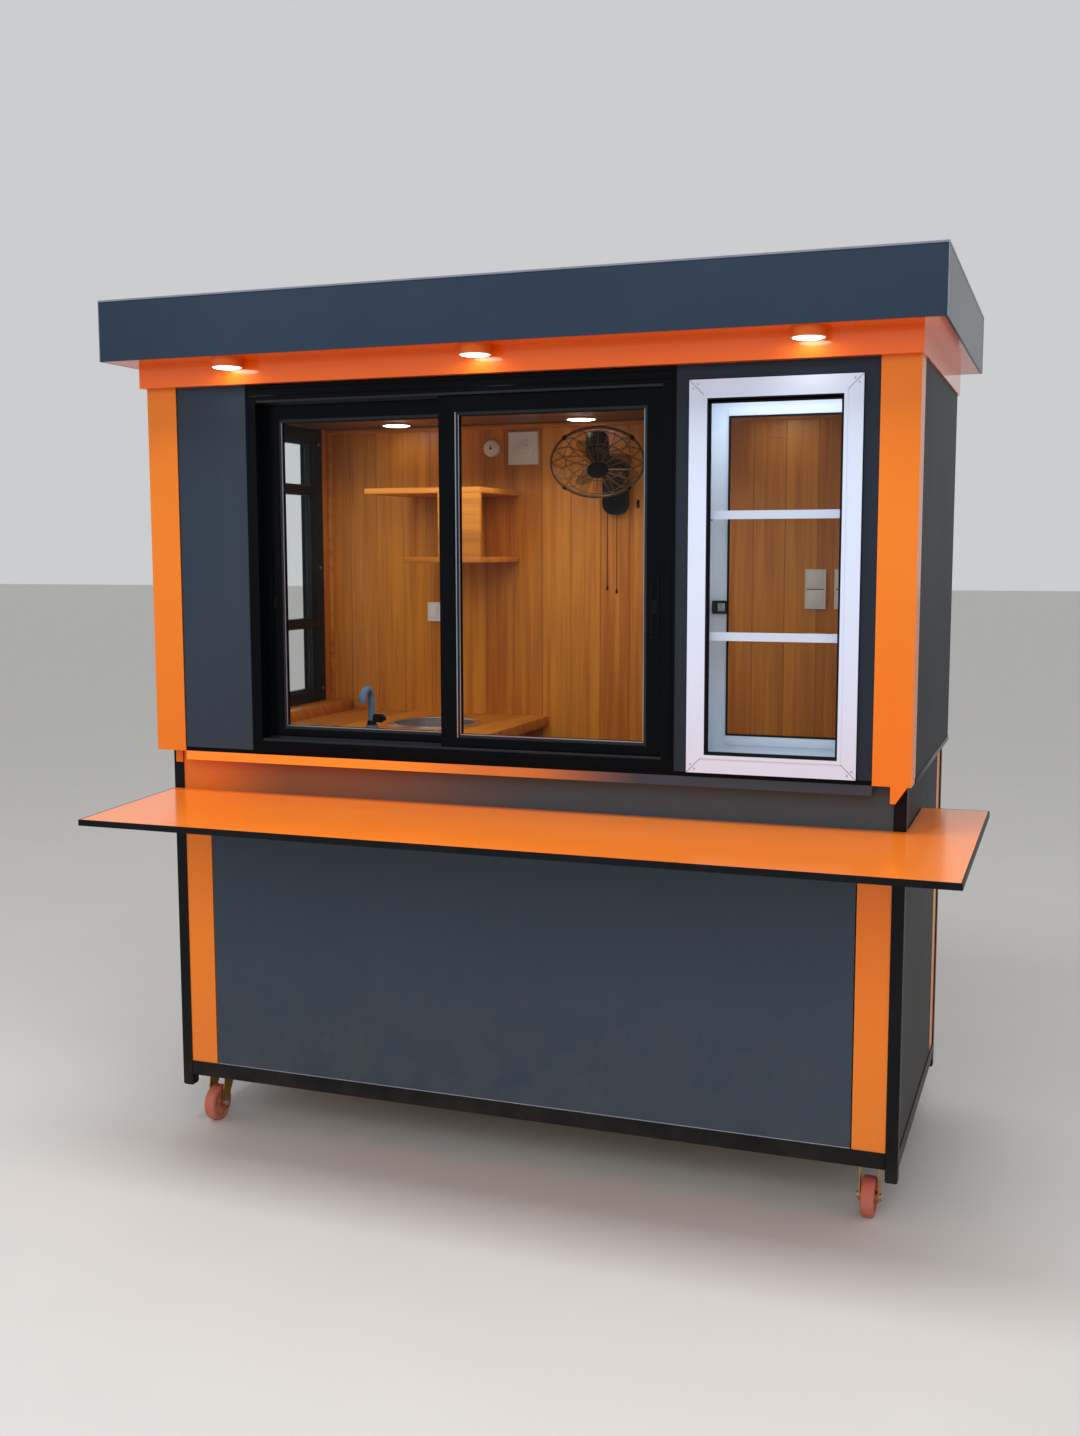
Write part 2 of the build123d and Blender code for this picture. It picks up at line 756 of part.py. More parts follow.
pipe_top = worktop_height + tap_crown_height - tap_pipe_radius - tap_bend_radius
with BuildPart() as tap:
    with BuildSketch(Plane.XY.offset(worktop_height)):
        with Locations((tap_x, tap_y)):
            Circle(tap_base_radius)
    extrude(amount=tap_base_height)
    with BuildLine() as tap_route:
        Line((tap_x, tap_y, worktop_height + tap_base_height), (tap_x, tap_y, pipe_top))
        ThreePointArc(
            (tap_x, tap_y, pipe_top),
            (tap_x, tap_y - tap_bend_radius, pipe_top + tap_bend_radius),
            (tap_x, tap_y - 2 * tap_bend_radius, pipe_top),
        )
        Line((tap_x, tap_y - 2 * tap_bend_radius, pipe_top),
             (tap_x, tap_y - 2 * tap_bend_radius, pipe_top - tap_spout_drop))
    with BuildSketch(Plane.XY.offset(worktop_height + tap_base_height)):
        with Locations((tap_x, tap_y)):
            Circle(tap_pipe_radius)
    sweep(path=tap_route.line)
finish(tap, "tap")

# Open shelf unit on the back wall
shelf_y = lining_back_face - shelf_depth
with BuildPart() as wall_shelf:
    slab(shelf_left, shelf_right, shelf_y, lining_back_face, shelf_top - shelf_board, shelf_top)
    slab(lower_shelf_left, shelf_right, shelf_y, lining_back_face, shelf_bottom, shelf_bottom + shelf_board)
    slab(shelf_divider - shelf_board, shelf_divider, shelf_y, lining_back_face, shelf_bottom, shelf_top)
    slab(shelf_right - shelf_board, shelf_right, shelf_y, lining_back_face, shelf_bottom, shelf_top)
finish(wall_shelf, "wall_shelf")

# Square plate, round plate and sockets on the back wall
with BuildPart() as wall_plates:
    with BuildSketch(seen_from_front(lining_back_face)):
        for x, z, width, height in (square_plate, *socket_plates):
            pane(x - width / 2, x + width / 2, z - height / 2, z + height / 2)
        with Locations((round_plate[0], round_plate[1])):
            Circle(round_plate[2])
    extrude(amount=plate_thickness)
finish(wall_plates, "wall_plates")

# Wall fan. Its axis points out of the wall, to the right by the turn and down by the tilt.
tilt = radians(fan_tilt)
turn = radians(fan_turn)
fan_side = Vector(cos(turn), sin(turn), 0)
fan_axis = Vector(sin(turn) * cos(tilt), -cos(turn) * cos(tilt), -sin(tilt))
fan_centre = Vector(fan_x, fan_y, fan_z)


def fan_plane(distance):
    """Give a plane square to the fan's axis, at a distance along it from the middle of the guard."""
    return Plane(origin=fan_centre + fan_axis * distance, x_dir=fan_side, z_dir=fan_axis)


motor_front = -guard_depth / 2 - motor_gap
motor_middle = fan_centre + fan_axis * (motor_front - motor_length / 2)
neck_foot = Vector(fan_box_x, lining_back_face - fan_box_depth / 2, fan_box_bottom + fan_box_height - fan_box_width / 2)
neck = motor_middle - neck_foot
with BuildPart() as fan_mount:
    with BuildSketch(fan_plane(motor_front)):
        Circle(motor_radius)
    extrude(amount=-motor_length)
    fillet(fan_mount.edges().filter_by(GeomType.CIRCLE), radius=motor_radius / 4)
    with BuildSketch(fan_plane(motor_front)):
        Circle(fan_shaft_radius)
    extrude(amount=motor_gap + guard_depth / 2 + blade_hub_length / 2)
    with BuildSketch(seen_from_front(lining_back_face)):
        with Locations((fan_box_x, fan_box_bottom + fan_box_height / 2)):
            RectangleRounded(fan_box_width, fan_box_height, fan_box_width / 2.2)
    extrude(amount=fan_box_depth)
    with BuildSketch(Plane(origin=neck_foot, x_dir=(1, 0, 0), z_dir=neck)):
        Circle(fan_neck_radius)
    extrude(amount=neck.length)
finish(fan_mount, "fan_mount")


def fan_radial(angle):
    """Give the direction square to the fan's axis at an angle round it."""
    return fan_side * cos(angle) + fan_axis.cross(fan_side) * sin(angle)


# Wire cage: a rim, a front and a back ring, and spokes from the front cap round to the motor
guard_half = guard_depth / 2
with BuildPart() as fan_guard:
    for distance, wire in ((guard_half, guard_wire), (0, guard_rim_wire), (-guard_half, guard_wire)):
        ring_radius = guard_radius if distance == 0 else guard_ring_radius
        with BuildSketch(fan_plane(distance - wire)):
            Circle(ring_radius + wire)
            Circle(ring_radius - wire, mode=Mode.SUBTRACT)
        extrude(amount=2 * wire)
    with BuildSketch(fan_plane(guard_half - guard_hub_thickness / 2)):
        Circle(guard_hub_radius)
    extrude(amount=guard_hub_thickness)
    with BuildSketch(fan_plane(motor_front)):
        Circle(guard_hub_radius)
        Circle(guard_hub_radius / 2, mode=Mode.SUBTRACT)
    extrude(amount=motor_gap + guard_wire)
    for step in range(guard_spokes):
        outward = fan_radial(2 * pi * step / guard_spokes)
        with BuildSketch(Plane(origin=fan_centre, x_dir=outward, z_dir=fan_axis.cross(outward))):
            # Radius runs along the sketch's x; the front of the cage lies at its negative y
            for side in (-1, 1):
                pane(guard_hub_radius - guard_wire, guard_ring_radius, side * guard_half - guard_wire,
                     side * guard_half + guard_wire)
                with BuildLine():
                    Polyline(
                        (guard_ring_radius - guard_wire, side * (guard_half + guard_wire)),
                        (guard_ring_radius + guard_wire, side * (guard_half + guard_wire)),
                        (guard_radius + guard_wire, side * guard_wire),
                        (guard_radius - guard_wire, -side * guard_wire),
                        (guard_ring_radius - guard_wire, side * (guard_half - guard_wire)),
                        close=True,
                    )
                make_face()
        extrude(amount=guard_wire, both=True)
finish(fan_guard, "fan_guard")

blade_start = blade_hub_radius * 0.7
with BuildPart() as fan_blades:
    with BuildSketch(fan_plane(-blade_hub_length / 2)):
        Circle(blade_hub_radius)
    extrude(amount=blade_hub_length)
    for step in range(blade_count):
        outward = fan_radial(2 * pi * step / blade_count)
        lean = fan_axis * cos(radians(blade_pitch)) + fan_axis.cross(outward) * sin(radians(blade_pitch))
        with BuildSketch(Plane(origin=fan_centre + outward * ((blade_start + blade_radius) / 2),
                               x_dir=outward, z_dir=lean)):
            RectangleRounded(blade_radius - blade_start, blade_width, blade_width * 0.4)
        extrude(amount=blade_thickness / 2, both=True)
    with BuildSketch(fan_plane(-blade_hub_length / 2)):
        Circle(fan_shaft_radius + fan_running_clearance)
    extrude(amount=blade_hub_length, mode=Mode.SUBTRACT)
finish(fan_blades, "fan_blades")

# Casters: plates and races stay with the frame; forks swivel; wheels roll
plate_bottom = rail_underside - caster_plate_thickness
race_bottom = plate_bottom - race_height
crown_top = race_bottom - running_gap
crown_bottom = crown_top - fork_thickness
pin_head_top = crown_bottom - running_gap
fork_inner = wheel_width / 2 + fork_side_gap
fork_outer = fork_inner + fork_leg_thickness
caster_places = {
    "front_left": (-caster_x, caster_setback),
    "front_right": (caster_x, caster_setback),
    "back_left": (-caster_x, base_depth - caster_setback),
    "back_right": (caster_x, base_depth - caster_setback),
}

with BuildPart() as caster_plates:
    for x, y in caster_places.values():
        slab(x - caster_plate_width / 2, x + caster_plate_width / 2, y - caster_plate_length / 2,
             y + caster_plate_length / 2, plate_bottom, rail_underside)
        with BuildSketch(Plane.XY.offset(race_bottom)):
            with Locations((x, y)):
                Circle(race_radius)
        extrude(amount=race_height)
        with BuildSketch(Plane.XY.offset(pin_head_top)):
            with Locations((x, y)):
                Circle(king_pin_radius)
        extrude(amount=race_bottom - pin_head_top)
        with BuildSketch(Plane.XY.offset(pin_head_top - king_pin_head_height)):
            with Locations((x, y)):
                Circle(king_pin_head_radius)
        extrude(amount=king_pin_head_height)
finish(caster_plates, "caster_plates")

for place, (x, y) in caster_places.items():
    axle_y = y - caster_trail
    with BuildPart() as fork:
        slab(x - fork_outer, x + fork_outer, y - fork_crown_half, y + fork_crown_half, crown_bottom, crown_top)
        for leg_start in (x - fork_outer, x + fork_inner):
            with BuildSketch(Plane.YZ.offset(leg_start)) as leg:
                pane(y - fork_crown_half, y + fork_crown_half, crown_bottom - fork_thickness, crown_bottom)
                with Locations((axle_y, wheel_radius)):
                    Circle(fork_foot_radius)
                make_hull(leg.edges())
            extrude(amount=fork_leg_thickness)
        with BuildSketch(Plane.XY.offset(crown_bottom)):
            with Locations((x, y)):
                Circle(king_pin_radius + shaft_clearance)
        extrude(amount=fork_thickness, mode=Mode.SUBTRACT)
        with BuildSketch(Plane.YZ.offset(x - fork_outer)):
            with Locations((axle_y, wheel_radius)):
                Circle(axle_radius)
        extrude(amount=2 * fork_outer)
        for head_start in (x - fork_outer - axle_head_thickness, x + fork_outer):
            with BuildSketch(Plane.YZ.offset(head_start)):
                with Locations((axle_y, wheel_radius)):
                    RegularPolygon(axle_head_radius, 6)
            extrude(amount=axle_head_thickness)
    finish(fork, f"fork_{place}")

    hub_half = fork_inner - running_gap
    tread_half = wheel_width / 2
    with BuildPart() as wheel:
        with BuildSketch(Plane.XY.offset(wheel_radius)) as profile:
            with BuildLine():
                Polyline(
                    (x - hub_half, axle_y + axle_radius + shaft_clearance),
                    (x - hub_half, axle_y + wheel_hub_radius),
                    (x - tread_half + wheel_recess, axle_y + wheel_hub_radius),
                    (x - tread_half + wheel_recess, axle_y + wheel_rim_radius),
                    (x - tread_half, axle_y + wheel_rim_radius),
                    (x - tread_half, axle_y + wheel_radius),
                    (x + tread_half, axle_y + wheel_radius),
                    (x + tread_half, axle_y + wheel_rim_radius),
                    (x + tread_half - wheel_recess, axle_y + wheel_rim_radius),
                    (x + tread_half - wheel_recess, axle_y + wheel_hub_radius),
                    (x + hub_half, axle_y + wheel_hub_radius),
                    (x + hub_half, axle_y + axle_radius + shaft_clearance),
                    close=True,
                )
            make_face()
            tread_corners = profile.vertices().filter_by_position(
                Axis.Y, axle_y + wheel_radius - 1, axle_y + wheel_radius + 1)
            fillet(tread_corners, radius=wheel_edge_radius)
        revolve(axis=Axis((x, axle_y, wheel_radius), (1, 0, 0)))
    finish(wheel, f"wheel_{place}")
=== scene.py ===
"""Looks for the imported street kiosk: finishes, trims, fittings, light and camera, in metres."""

from __future__ import annotations

import logging
import math
from dataclasses import dataclass, replace
from enum import Enum
from typing import Iterable, Sequence

import bmesh
import bpy
from mathutils import Matrix, Vector


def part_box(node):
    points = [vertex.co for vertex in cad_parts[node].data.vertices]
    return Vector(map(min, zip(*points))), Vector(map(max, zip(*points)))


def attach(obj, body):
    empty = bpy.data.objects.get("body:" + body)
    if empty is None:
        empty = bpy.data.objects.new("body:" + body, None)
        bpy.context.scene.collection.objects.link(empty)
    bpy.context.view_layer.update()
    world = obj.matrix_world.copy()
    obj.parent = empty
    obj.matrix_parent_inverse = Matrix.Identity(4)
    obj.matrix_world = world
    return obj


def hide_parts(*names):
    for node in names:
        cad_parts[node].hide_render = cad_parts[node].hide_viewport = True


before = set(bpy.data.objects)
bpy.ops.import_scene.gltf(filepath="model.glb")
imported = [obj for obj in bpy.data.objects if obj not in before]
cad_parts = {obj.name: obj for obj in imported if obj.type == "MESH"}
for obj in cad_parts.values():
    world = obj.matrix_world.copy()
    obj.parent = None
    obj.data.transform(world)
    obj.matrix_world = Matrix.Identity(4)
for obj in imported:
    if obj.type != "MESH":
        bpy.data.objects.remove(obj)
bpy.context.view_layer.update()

log = logging.getLogger("kiosk")
Triple = Sequence[float]
BODY = "kiosk"
SHARP_FROM = math.radians(35)
POST_LOW, POST_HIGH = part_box("corner_posts")
FOOT = Vector(((POST_LOW.x + POST_HIGH.x) / 2, POST_LOW.y, 0.0))
X, Y, Z = Vector((1, 0, 0)), Vector((0, 1, 0)), Vector((0, 0, 1))


def at(x: float, y: float, z: float) -> Vector:
    """Turn a place measured from the middle of the base's front foot into the kiosk's own frame.

    Args:
        x: metres to the right of the middle.
        y: metres behind the base's front face.
        z: metres above the ground.

    Returns:
        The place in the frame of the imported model.
    """
    return Vector((x, y, z)) + FOOT


def srgb(red: float, green: float, blue: float) -> tuple[float, float, float, float]:
    """Turn a screen colour of 0 to 255 a channel into the linear colour that shaders take.

    Args:
        red: red channel.
        green: green channel.
        blue: blue channel.

    Returns:
        The linear colour with an alpha of 1.
    """
    linear = []
    for channel in (red, green, blue):
        share = channel / 255
        linear.append(share / 12.92 if share <= 0.04045 else ((share + 0.055) / 1.055) ** 2.4)
    return (*linear, 1.0)


class Tree:
    """A node tree that is being wired."""

    def __init__(self, tree: bpy.types.NodeTree) -> None:
        """Take over a tree and empty it.

        Args:
            tree: the material's, world's or group's node tree.
        """
        self.tree = tree
        self.tree.nodes.clear()

    def add(self, kind: str, inputs: dict[str | int, object] | None = None, **settings: object) -> bpy.types.Node:
        """Add a node, set its options, and link or set its inputs.

        Args:
            kind: the node's type name.
            inputs: socket name or number to a value, or to the output that feeds it.
            **settings: the node's own options.

        Returns:
            The new node.
        """
        node = self.tree.nodes.new(kind)
        for key, value in settings.items():
            setattr(node, key, value)
        for key, value in (inputs or {}).items():
            if isinstance(value, bpy.types.NodeSocket):
                self.tree.links.new(value, node.inputs[key])
            else:
                node.inputs[key].default_value = value
        return node

    def maths(self, operation: str, *values: object, clamp: bool = False) -> bpy.types.NodeSocket:
        """Add a Math node and return its output.

        Args:
            operation: the Math node's operation.
            *values: its inputs, each a number or an output.
            clamp: whether the result is held between 0 and 1.

        Returns:
            The node's output socket.
        """
        node = self.add("ShaderNodeMath", dict(enumerate(values)), operation=operation, use_clamp=clamp)
        return node.outputs[0]

    def blend(self, share: object, first: object, second: object) -> bpy.types.NodeSocket:
        """Mix two colours.

        Args:
            share: how much of the second colour, a number or an output.
            first: the first colour.
            second: the second colour.

        Returns:
            The mixed colour's output socket.
        """
        node = self.add("ShaderNodeMix", {0: share, 6: first, 7: second}, data_type="RGBA")
        return node.outputs[2]

    def noise(self, vector: object, scale: object, detail: float = 2.0, rough: float = 0.5) -> bpy.types.NodeSocket:
        """Add a noise texture.

        Args:
            vector: the coordinates that it reads.
            scale: its scale.
            detail: its detail.
            rough: its roughness.

        Returns:
            The noise's value output.
        """
        node = self.add("ShaderNodeTexNoise", {"Vector": vector, "Scale": scale, "Detail": detail, "Roughness": rough})
        return node.outputs["Fac"]

    def stretch(self, vector: object, factors: Triple) -> bpy.types.NodeSocket:
        """Multiply coordinates.

        Args:
            vector: the coordinates.
            factors: what each is multiplied by.

        Returns:
            The stretched coordinates' output.
        """
        return self.add("ShaderNodeVectorMath", {0: vector, 1: factors}, operation="MULTIPLY").outputs[0]

    def span(self, value: object, low: float, high: float, start: float = 0.0, end: float = 1.0,
             smooth: bool = False) -> bpy.types.NodeSocket:
        """Map a value from one range to another, held at both ends.

        Args:
            value: the value to map.
            low: where the range starts.
            high: where the range ends.
            start: the result at the start.
            end: the result at the end.
            smooth: whether it eases in and out.

        Returns:
            The mapped value's output.
        """
        node = self.add("ShaderNodeMapRange", {0: value, 1: low, 2: high, 3: start, 4: end},
                        interpolation_type="SMOOTHSTEP" if smooth else "LINEAR")
        return node.outputs[0]


class Group:
    """A shader node group with named inputs and outputs, built once."""

    def __init__(self, name: str, colours: Sequence[str], numbers: Sequence[str]) -> None:
        """Make the group and its input sockets.

        Args:
            name: the group's name.
            colours: the inputs that are colours.
            numbers: the inputs that are numbers.
        """
        self.group = bpy.data.node_groups.new(name, "ShaderNodeTree")
        for kind, keys in (("Color", colours), ("Float", numbers)):
            for key in keys:
                self.group.interface.new_socket(name=key, in_out="INPUT", socket_type=f"NodeSocket{kind}")
        self.tree = Tree(self.group)
        self.given = self.tree.add("NodeGroupInput").outputs
        self.place = self.tree.add("ShaderNodeTexCoord").outputs["Object"]

    def close(self, **results: bpy.types.NodeSocket) -> None:
        """Give the group its output sockets and wire the results to them.

        Args:
            **results: output name to the socket that feeds it; Colour is a colour, and the rest are numbers.
        """
        for key in results:
            kind = "Color" if key == "Colour" else "Float"
            self.group.interface.new_socket(name=key, in_out="OUTPUT", socket_type=f"NodeSocket{kind}")
        self.tree.add("NodeGroupOutput", results)

    def use(self, tree: Tree, values: dict[str, object]) -> bpy.types.Node:
        """Place the group in a material with its own values.

        Args:
            tree: the material's tree.
            values: input name to a value or to the output that feeds it.

        Returns:
            The group node.
        """
        return tree.add("ShaderNodeGroup", values, node_tree=self.group)


DUST, GROOVE = srgb(170, 150, 120), srgb(70, 34, 10)
CLOUDING, ROUGHNESS_SPREAD = 0.6, 0.1


def weathered_sheet() -> Group:
    """Build the group for painted and coated sheet: clouding, dust that thickens near the ground, and specks.

    Returns:
        The group.
    """
    made = Group("weathered_sheet", ("Colour", "Clouded"),
                 ("Cloud Scale", "Dust", "Dust Top", "Specks", "Roughness", "Waviness"))
    tree, given, place = made.tree, made.given, made.place
    height = tree.add("ShaderNodeSeparateXYZ", {0: place}).outputs[2]
    clouds = tree.noise(place, given["Cloud Scale"], 4.0, 0.55)
    fine = tree.noise(place, 260.0, 2.0)
    streaks = tree.span(tree.noise(tree.stretch(place, (34.0, 34.0, 1.4)), 1.0, 3.0), 0.45, 0.75, smooth=True)
    low = tree.span(tree.maths("DIVIDE", height, given["Dust Top"]), 0.12, 1.0, 1.0, 0.0, smooth=True)
    patches = tree.span(tree.noise(place, 9.0, 5.0, 0.6), 0.36, 0.68, 0.25, 1.0)
    dust = tree.maths("MULTIPLY", tree.maths("MULTIPLY", low, patches), given["Dust"], clamp=True)
    colour = tree.blend(tree.maths("MULTIPLY", tree.span(clouds, 0.35, 0.65), CLOUDING),
                        given["Colour"], given["Clouded"])
    colour = tree.blend(tree.maths("MULTIPLY", streaks, tree.maths("MULTIPLY", given["Specks"], 0.08)),
                        colour, DUST)
    specks = tree.maths("MULTIPLY", tree.span(fine, 0.66, 0.74), given["Specks"])
    colour = tree.blend(tree.maths("MULTIPLY", specks, 0.5), colour, DUST)
    colour = tree.blend(dust, colour, DUST)
    spread = tree.maths("MULTIPLY", tree.maths("SUBTRACT", clouds, 0.45), ROUGHNESS_SPREAD)
    rough = tree.maths("ADD", tree.maths("ADD", given["Roughness"], spread),
                       tree.maths("ADD", tree.maths("MULTIPLY", dust, 0.45), tree.maths("MULTIPLY", specks, 0.3)),
                       clamp=True)
    wave = tree.maths("MULTIPLY", tree.noise(place, 2.1, 1.0), given["Waviness"])
    relief = tree.maths("ADD", wave, tree.maths("MULTIPLY", fine, 0.01))
    made.close(Colour=colour, Roughness=rough, Height=relief)
    return made


def planked_wood() -> Group:
    """Build the group for the wood-grained lining: upright or level planks, each with a tone of its own.

    Returns:
        The group.
    """
    made = Group("planked_wood", ("Light", "Dark"), ("Across", "Along", "Plank", "Groove", "Roughness"))
    tree, given = made.tree, made.given
    planks = tree.maths("DIVIDE", given["Across"], given["Plank"])
    number = tree.maths("FLOOR", planks)
    inside = tree.maths("FRACT", planks)
    tone = tree.add("ShaderNodeTexWhiteNoise", {"W": number}, noise_dimensions="1D").outputs["Value"]
    stretched = tree.add("ShaderNodeCombineXYZ", {
        0: tree.maths("MULTIPLY", given["Across"], 46.0),
        1: tree.maths("MULTIPLY", number, 7.31),
        2: tree.maths("MULTIPLY", given["Along"], 1.7)}).outputs[0]
    grain = tree.noise(stretched, 1.0, 6.0, 0.62)
    pores = tree.noise(tree.stretch(stretched, (9.0, 1.0, 4.0)), 1.0, 2.0)
    share = tree.maths("ADD", tree.span(grain, 0.33, 0.68), tree.maths("MULTIPLY", tree.maths(
        "SUBTRACT", tone, 0.5), 0.55), clamp=True)
    colour = tree.blend(share, given["Light"], given["Dark"])
    colour = tree.blend(tree.span(pores, 0.62, 0.8, 0.0, 0.35), colour, GROOVE)
    edge = tree.maths("MINIMUM", inside, tree.maths("SUBTRACT", 1.0, inside))
    groove = tree.maths("MULTIPLY", tree.span(edge, 0.0, 0.028, 1.0, 0.0), given["Groove"])
    colour = tree.blend(tree.maths("MULTIPLY", groove, 0.75), colour, GROOVE)
    rough = tree.maths("ADD", given["Roughness"], tree.maths("MULTIPLY", grain, 0.16), clamp=True)
    relief = tree.maths("SUBTRACT", tree.maths("MULTIPLY", grain, 0.12), groove)
    made.close(Colour=colour, Roughness=rough, Height=relief)
    return made


def side_fade() -> Group:
    """Build the group that passes one colour into another along the kiosk's width.

    Returns:
        The group.
    """
    made = Group("side_fade", ("Left", "Middle", "Right"), ("Start", "Centre", "End"))
    tree, given = made.tree, made.given
    across = tree.add("ShaderNodeSeparateXYZ", {0: made.place}).outputs[0]
    wobble = tree.maths("MULTIPLY", tree.maths("SUBTRACT", tree.noise(made.place, 5.0, 3.0), 0.5), 0.05)
    across = tree.maths("ADD", across, wobble)
    first = tree.span(across, given["Start"], given["Centre"], smooth=True)
    second = tree.span(across, given["Centre"], given["End"], smooth=True)
    made.close(Colour=tree.blend(second, tree.blend(first, given["Left"], given["Middle"]), given["Right"]))
    return made


def brushed_metal() -> Group:
    """Build the group for bright and plated metal: fine brush lines and small stains.

    Returns:
        The group.
    """
    made = Group("brushed_metal", ("Colour", "Stain"), ("Staining", "Brush", "Roughness"))
    tree, given, place = made.tree, made.given, made.place
    lines = tree.noise(tree.stretch(place, (30.0, 900.0, 900.0)), 1.0, 2.0)
    stains = tree.span(tree.noise(place, 42.0, 5.0, 0.65), 0.5, 0.72)
    colour = tree.blend(tree.maths("MULTIPLY", stains, given["Staining"]), given["Colour"], given["Stain"])
    rough = tree.maths("ADD", given["Roughness"], tree.maths("ADD", tree.maths(
        "MULTIPLY", tree.maths("SUBTRACT", lines, 0.5), 0.2), tree.maths("MULTIPLY", stains, 0.2)), clamp=True)
    made.close(Colour=colour, Roughness=rough, Height=tree.maths("MULTIPLY", lines, given["Brush"]))
    return made


SHEET_RELIEF, WOOD_RELIEF, METAL_RELIEF = 0.002, 0.0012, 0.0002
COAT_ROUGHNESS = 0.08
PANE_INDEX = 1.17
SHEET, WOOD, FADE, METAL = weathered_sheet(), planked_wood(), side_fade(), brushed_metal()


@dataclass(frozen=True)
class Finish:
    """What every finish shares: its name, the record's slot, and a material made once.

    Args:
        name: the material's name.
        slot: the record's material slot; not used.
    """

    name: str
    slot: str

    def wire(self, tree: Tree) -> bpy.types.NodeSocket:
        """Wire the finish and return the shader; each kind of finish does this its own way."""
        raise NotImplementedError

    def material(self) -> bpy.types.Material:
        """Give the finish's material, made the first time it is asked for.

        Returns:
            The material.
        """
        known = bpy.data.materials.get(self.name)
        if known is not None:
            return known
        made = bpy.data.materials.new(self.name)
        made.use_nodes = True
        tree = Tree(made.node_tree)
        tree.add("ShaderNodeOutputMaterial", {"Surface": self.wire(tree)})
        return made

    def shader(self, tree: Tree, made: bpy.types.Node | None, depth: float, **plain: object) -> bpy.types.NodeSocket:
        """Wire a group's colour, roughness and relief into a Principled BSDF.

        Args:
            tree: the material's tree.
            made: the group node.
            depth: the relief's depth in metres.
            **plain: plain values for the shader's other sockets, with underscores for spaces.

        Returns:
            The shader's output.
        """
        inputs: dict[str | int, object] = {key.replace("_", " "): value for key, value in plain.items()}
        if made is not None:
            bump = tree.add("ShaderNodeBump", {"Strength": 1.0, "Distance": depth, "Height": made.outputs["Height"]})
            inputs |= {"Roughness": made.outputs["Roughness"], "Normal": bump.outputs[0]}
            inputs.setdefault("Base Color", made.outputs["Colour"])
        return tree.add("ShaderNodeBsdfPrincipled", inputs).outputs[0]


@dataclass(frozen=True)
class Sheet(Finish):
    """Painted, coated or moulded surface, clouded and dusty.

    Args:
        colour: screen colour.
        clouded: the screen colour that it clouds to.
        roughness: how dull it is.
        dust: how much dust lies on it near the ground.
        dust_top: the height in metres where the dust ends.
        specks: how many dust specks and streaks it has.
        waviness: how uneven its reflections are.
        coat: the clear coat's weight.
        cloud_scale: how small the clouding is.
        glow: how strongly it shines by itself.
        mirror: the specular level.
        cover: how opaque it is.
    """

    colour: Triple = (60, 70, 90)
    clouded: Triple = (70, 80, 100)
    roughness: float = 0.25
    dust: float = 0.0
    dust_top: float = 0.7
    specks: float = 0.2
    waviness: float = 0.0
    coat: float = 0.0
    cloud_scale: float = 1.6
    glow: float = 0.0
    mirror: float = 0.3
    cover: float = 1.0

    def values(self) -> dict[str, object]:
        """Give the weathered sheet group's values for this finish."""
        return {"Colour": srgb(*self.colour), "Clouded": srgb(*self.clouded),
                "Cloud Scale": self.cloud_scale, "Dust": self.dust, "Dust Top": self.dust_top,
                "Specks": self.specks, "Roughness": self.roughness, "Waviness": self.waviness}

    def wire(self, tree: Tree) -> bpy.types.NodeSocket:
        """Wire the weathered sheet group into a shader."""
        made = SHEET.use(tree, self.values())
        plain: dict[str, object] = {"Alpha": self.cover, "Coat_Weight": self.coat,
                                    "Coat_Roughness": COAT_ROUGHNESS, "Specular_IOR_Level": self.mirror}
        if self.glow:
            plain |= {"Emission_Color": srgb(*self.colour), "Emission_Strength": self.glow}
        return self.shader(tree, made, SHEET_RELIEF, **plain)


@dataclass(frozen=True)
class FadingSheet(Sheet):
    """Coated sheet whose colour passes into another along the kiosk's width.

    Args:
        middle: the screen colour half-way.
        far: the screen colour at the right.
        start: where the fade starts, in metres from the middle of the base.
        centre: where the half-way colour is reached.
        end: where the far colour is reached.
    """

    middle: Triple = (110, 72, 60)
    far: Triple = (58, 66, 82)
    start: float = -0.9
    centre: float = -0.3
    end: float = 0.4

    def wire(self, tree: Tree) -> bpy.types.NodeSocket:
        """Wire the fade into the weathered sheet group, and that into a shader."""
        fade = FADE.use(tree, {"Left": srgb(*self.colour), "Middle": srgb(*self.middle), "Right": srgb(*self.far),
                               "Start": self.start + FOOT.x, "Centre": self.centre + FOOT.x,
                               "End": self.end + FOOT.x})
        values = self.values() | {"Colour": fade.outputs[0], "Clouded": fade.outputs[0]}
        return self.shader(tree, SHEET.use(tree, values), SHEET_RELIEF, Coat_Weight=self.coat,
                           Coat_Roughness=COAT_ROUGHNESS, Specular_IOR_Level=self.mirror)


class Grain(Enum):
    """Which way the planks of a wooden surface run."""

    UPRIGHT = "upright"
    LEVEL = "level"
    DEEP = "deep"


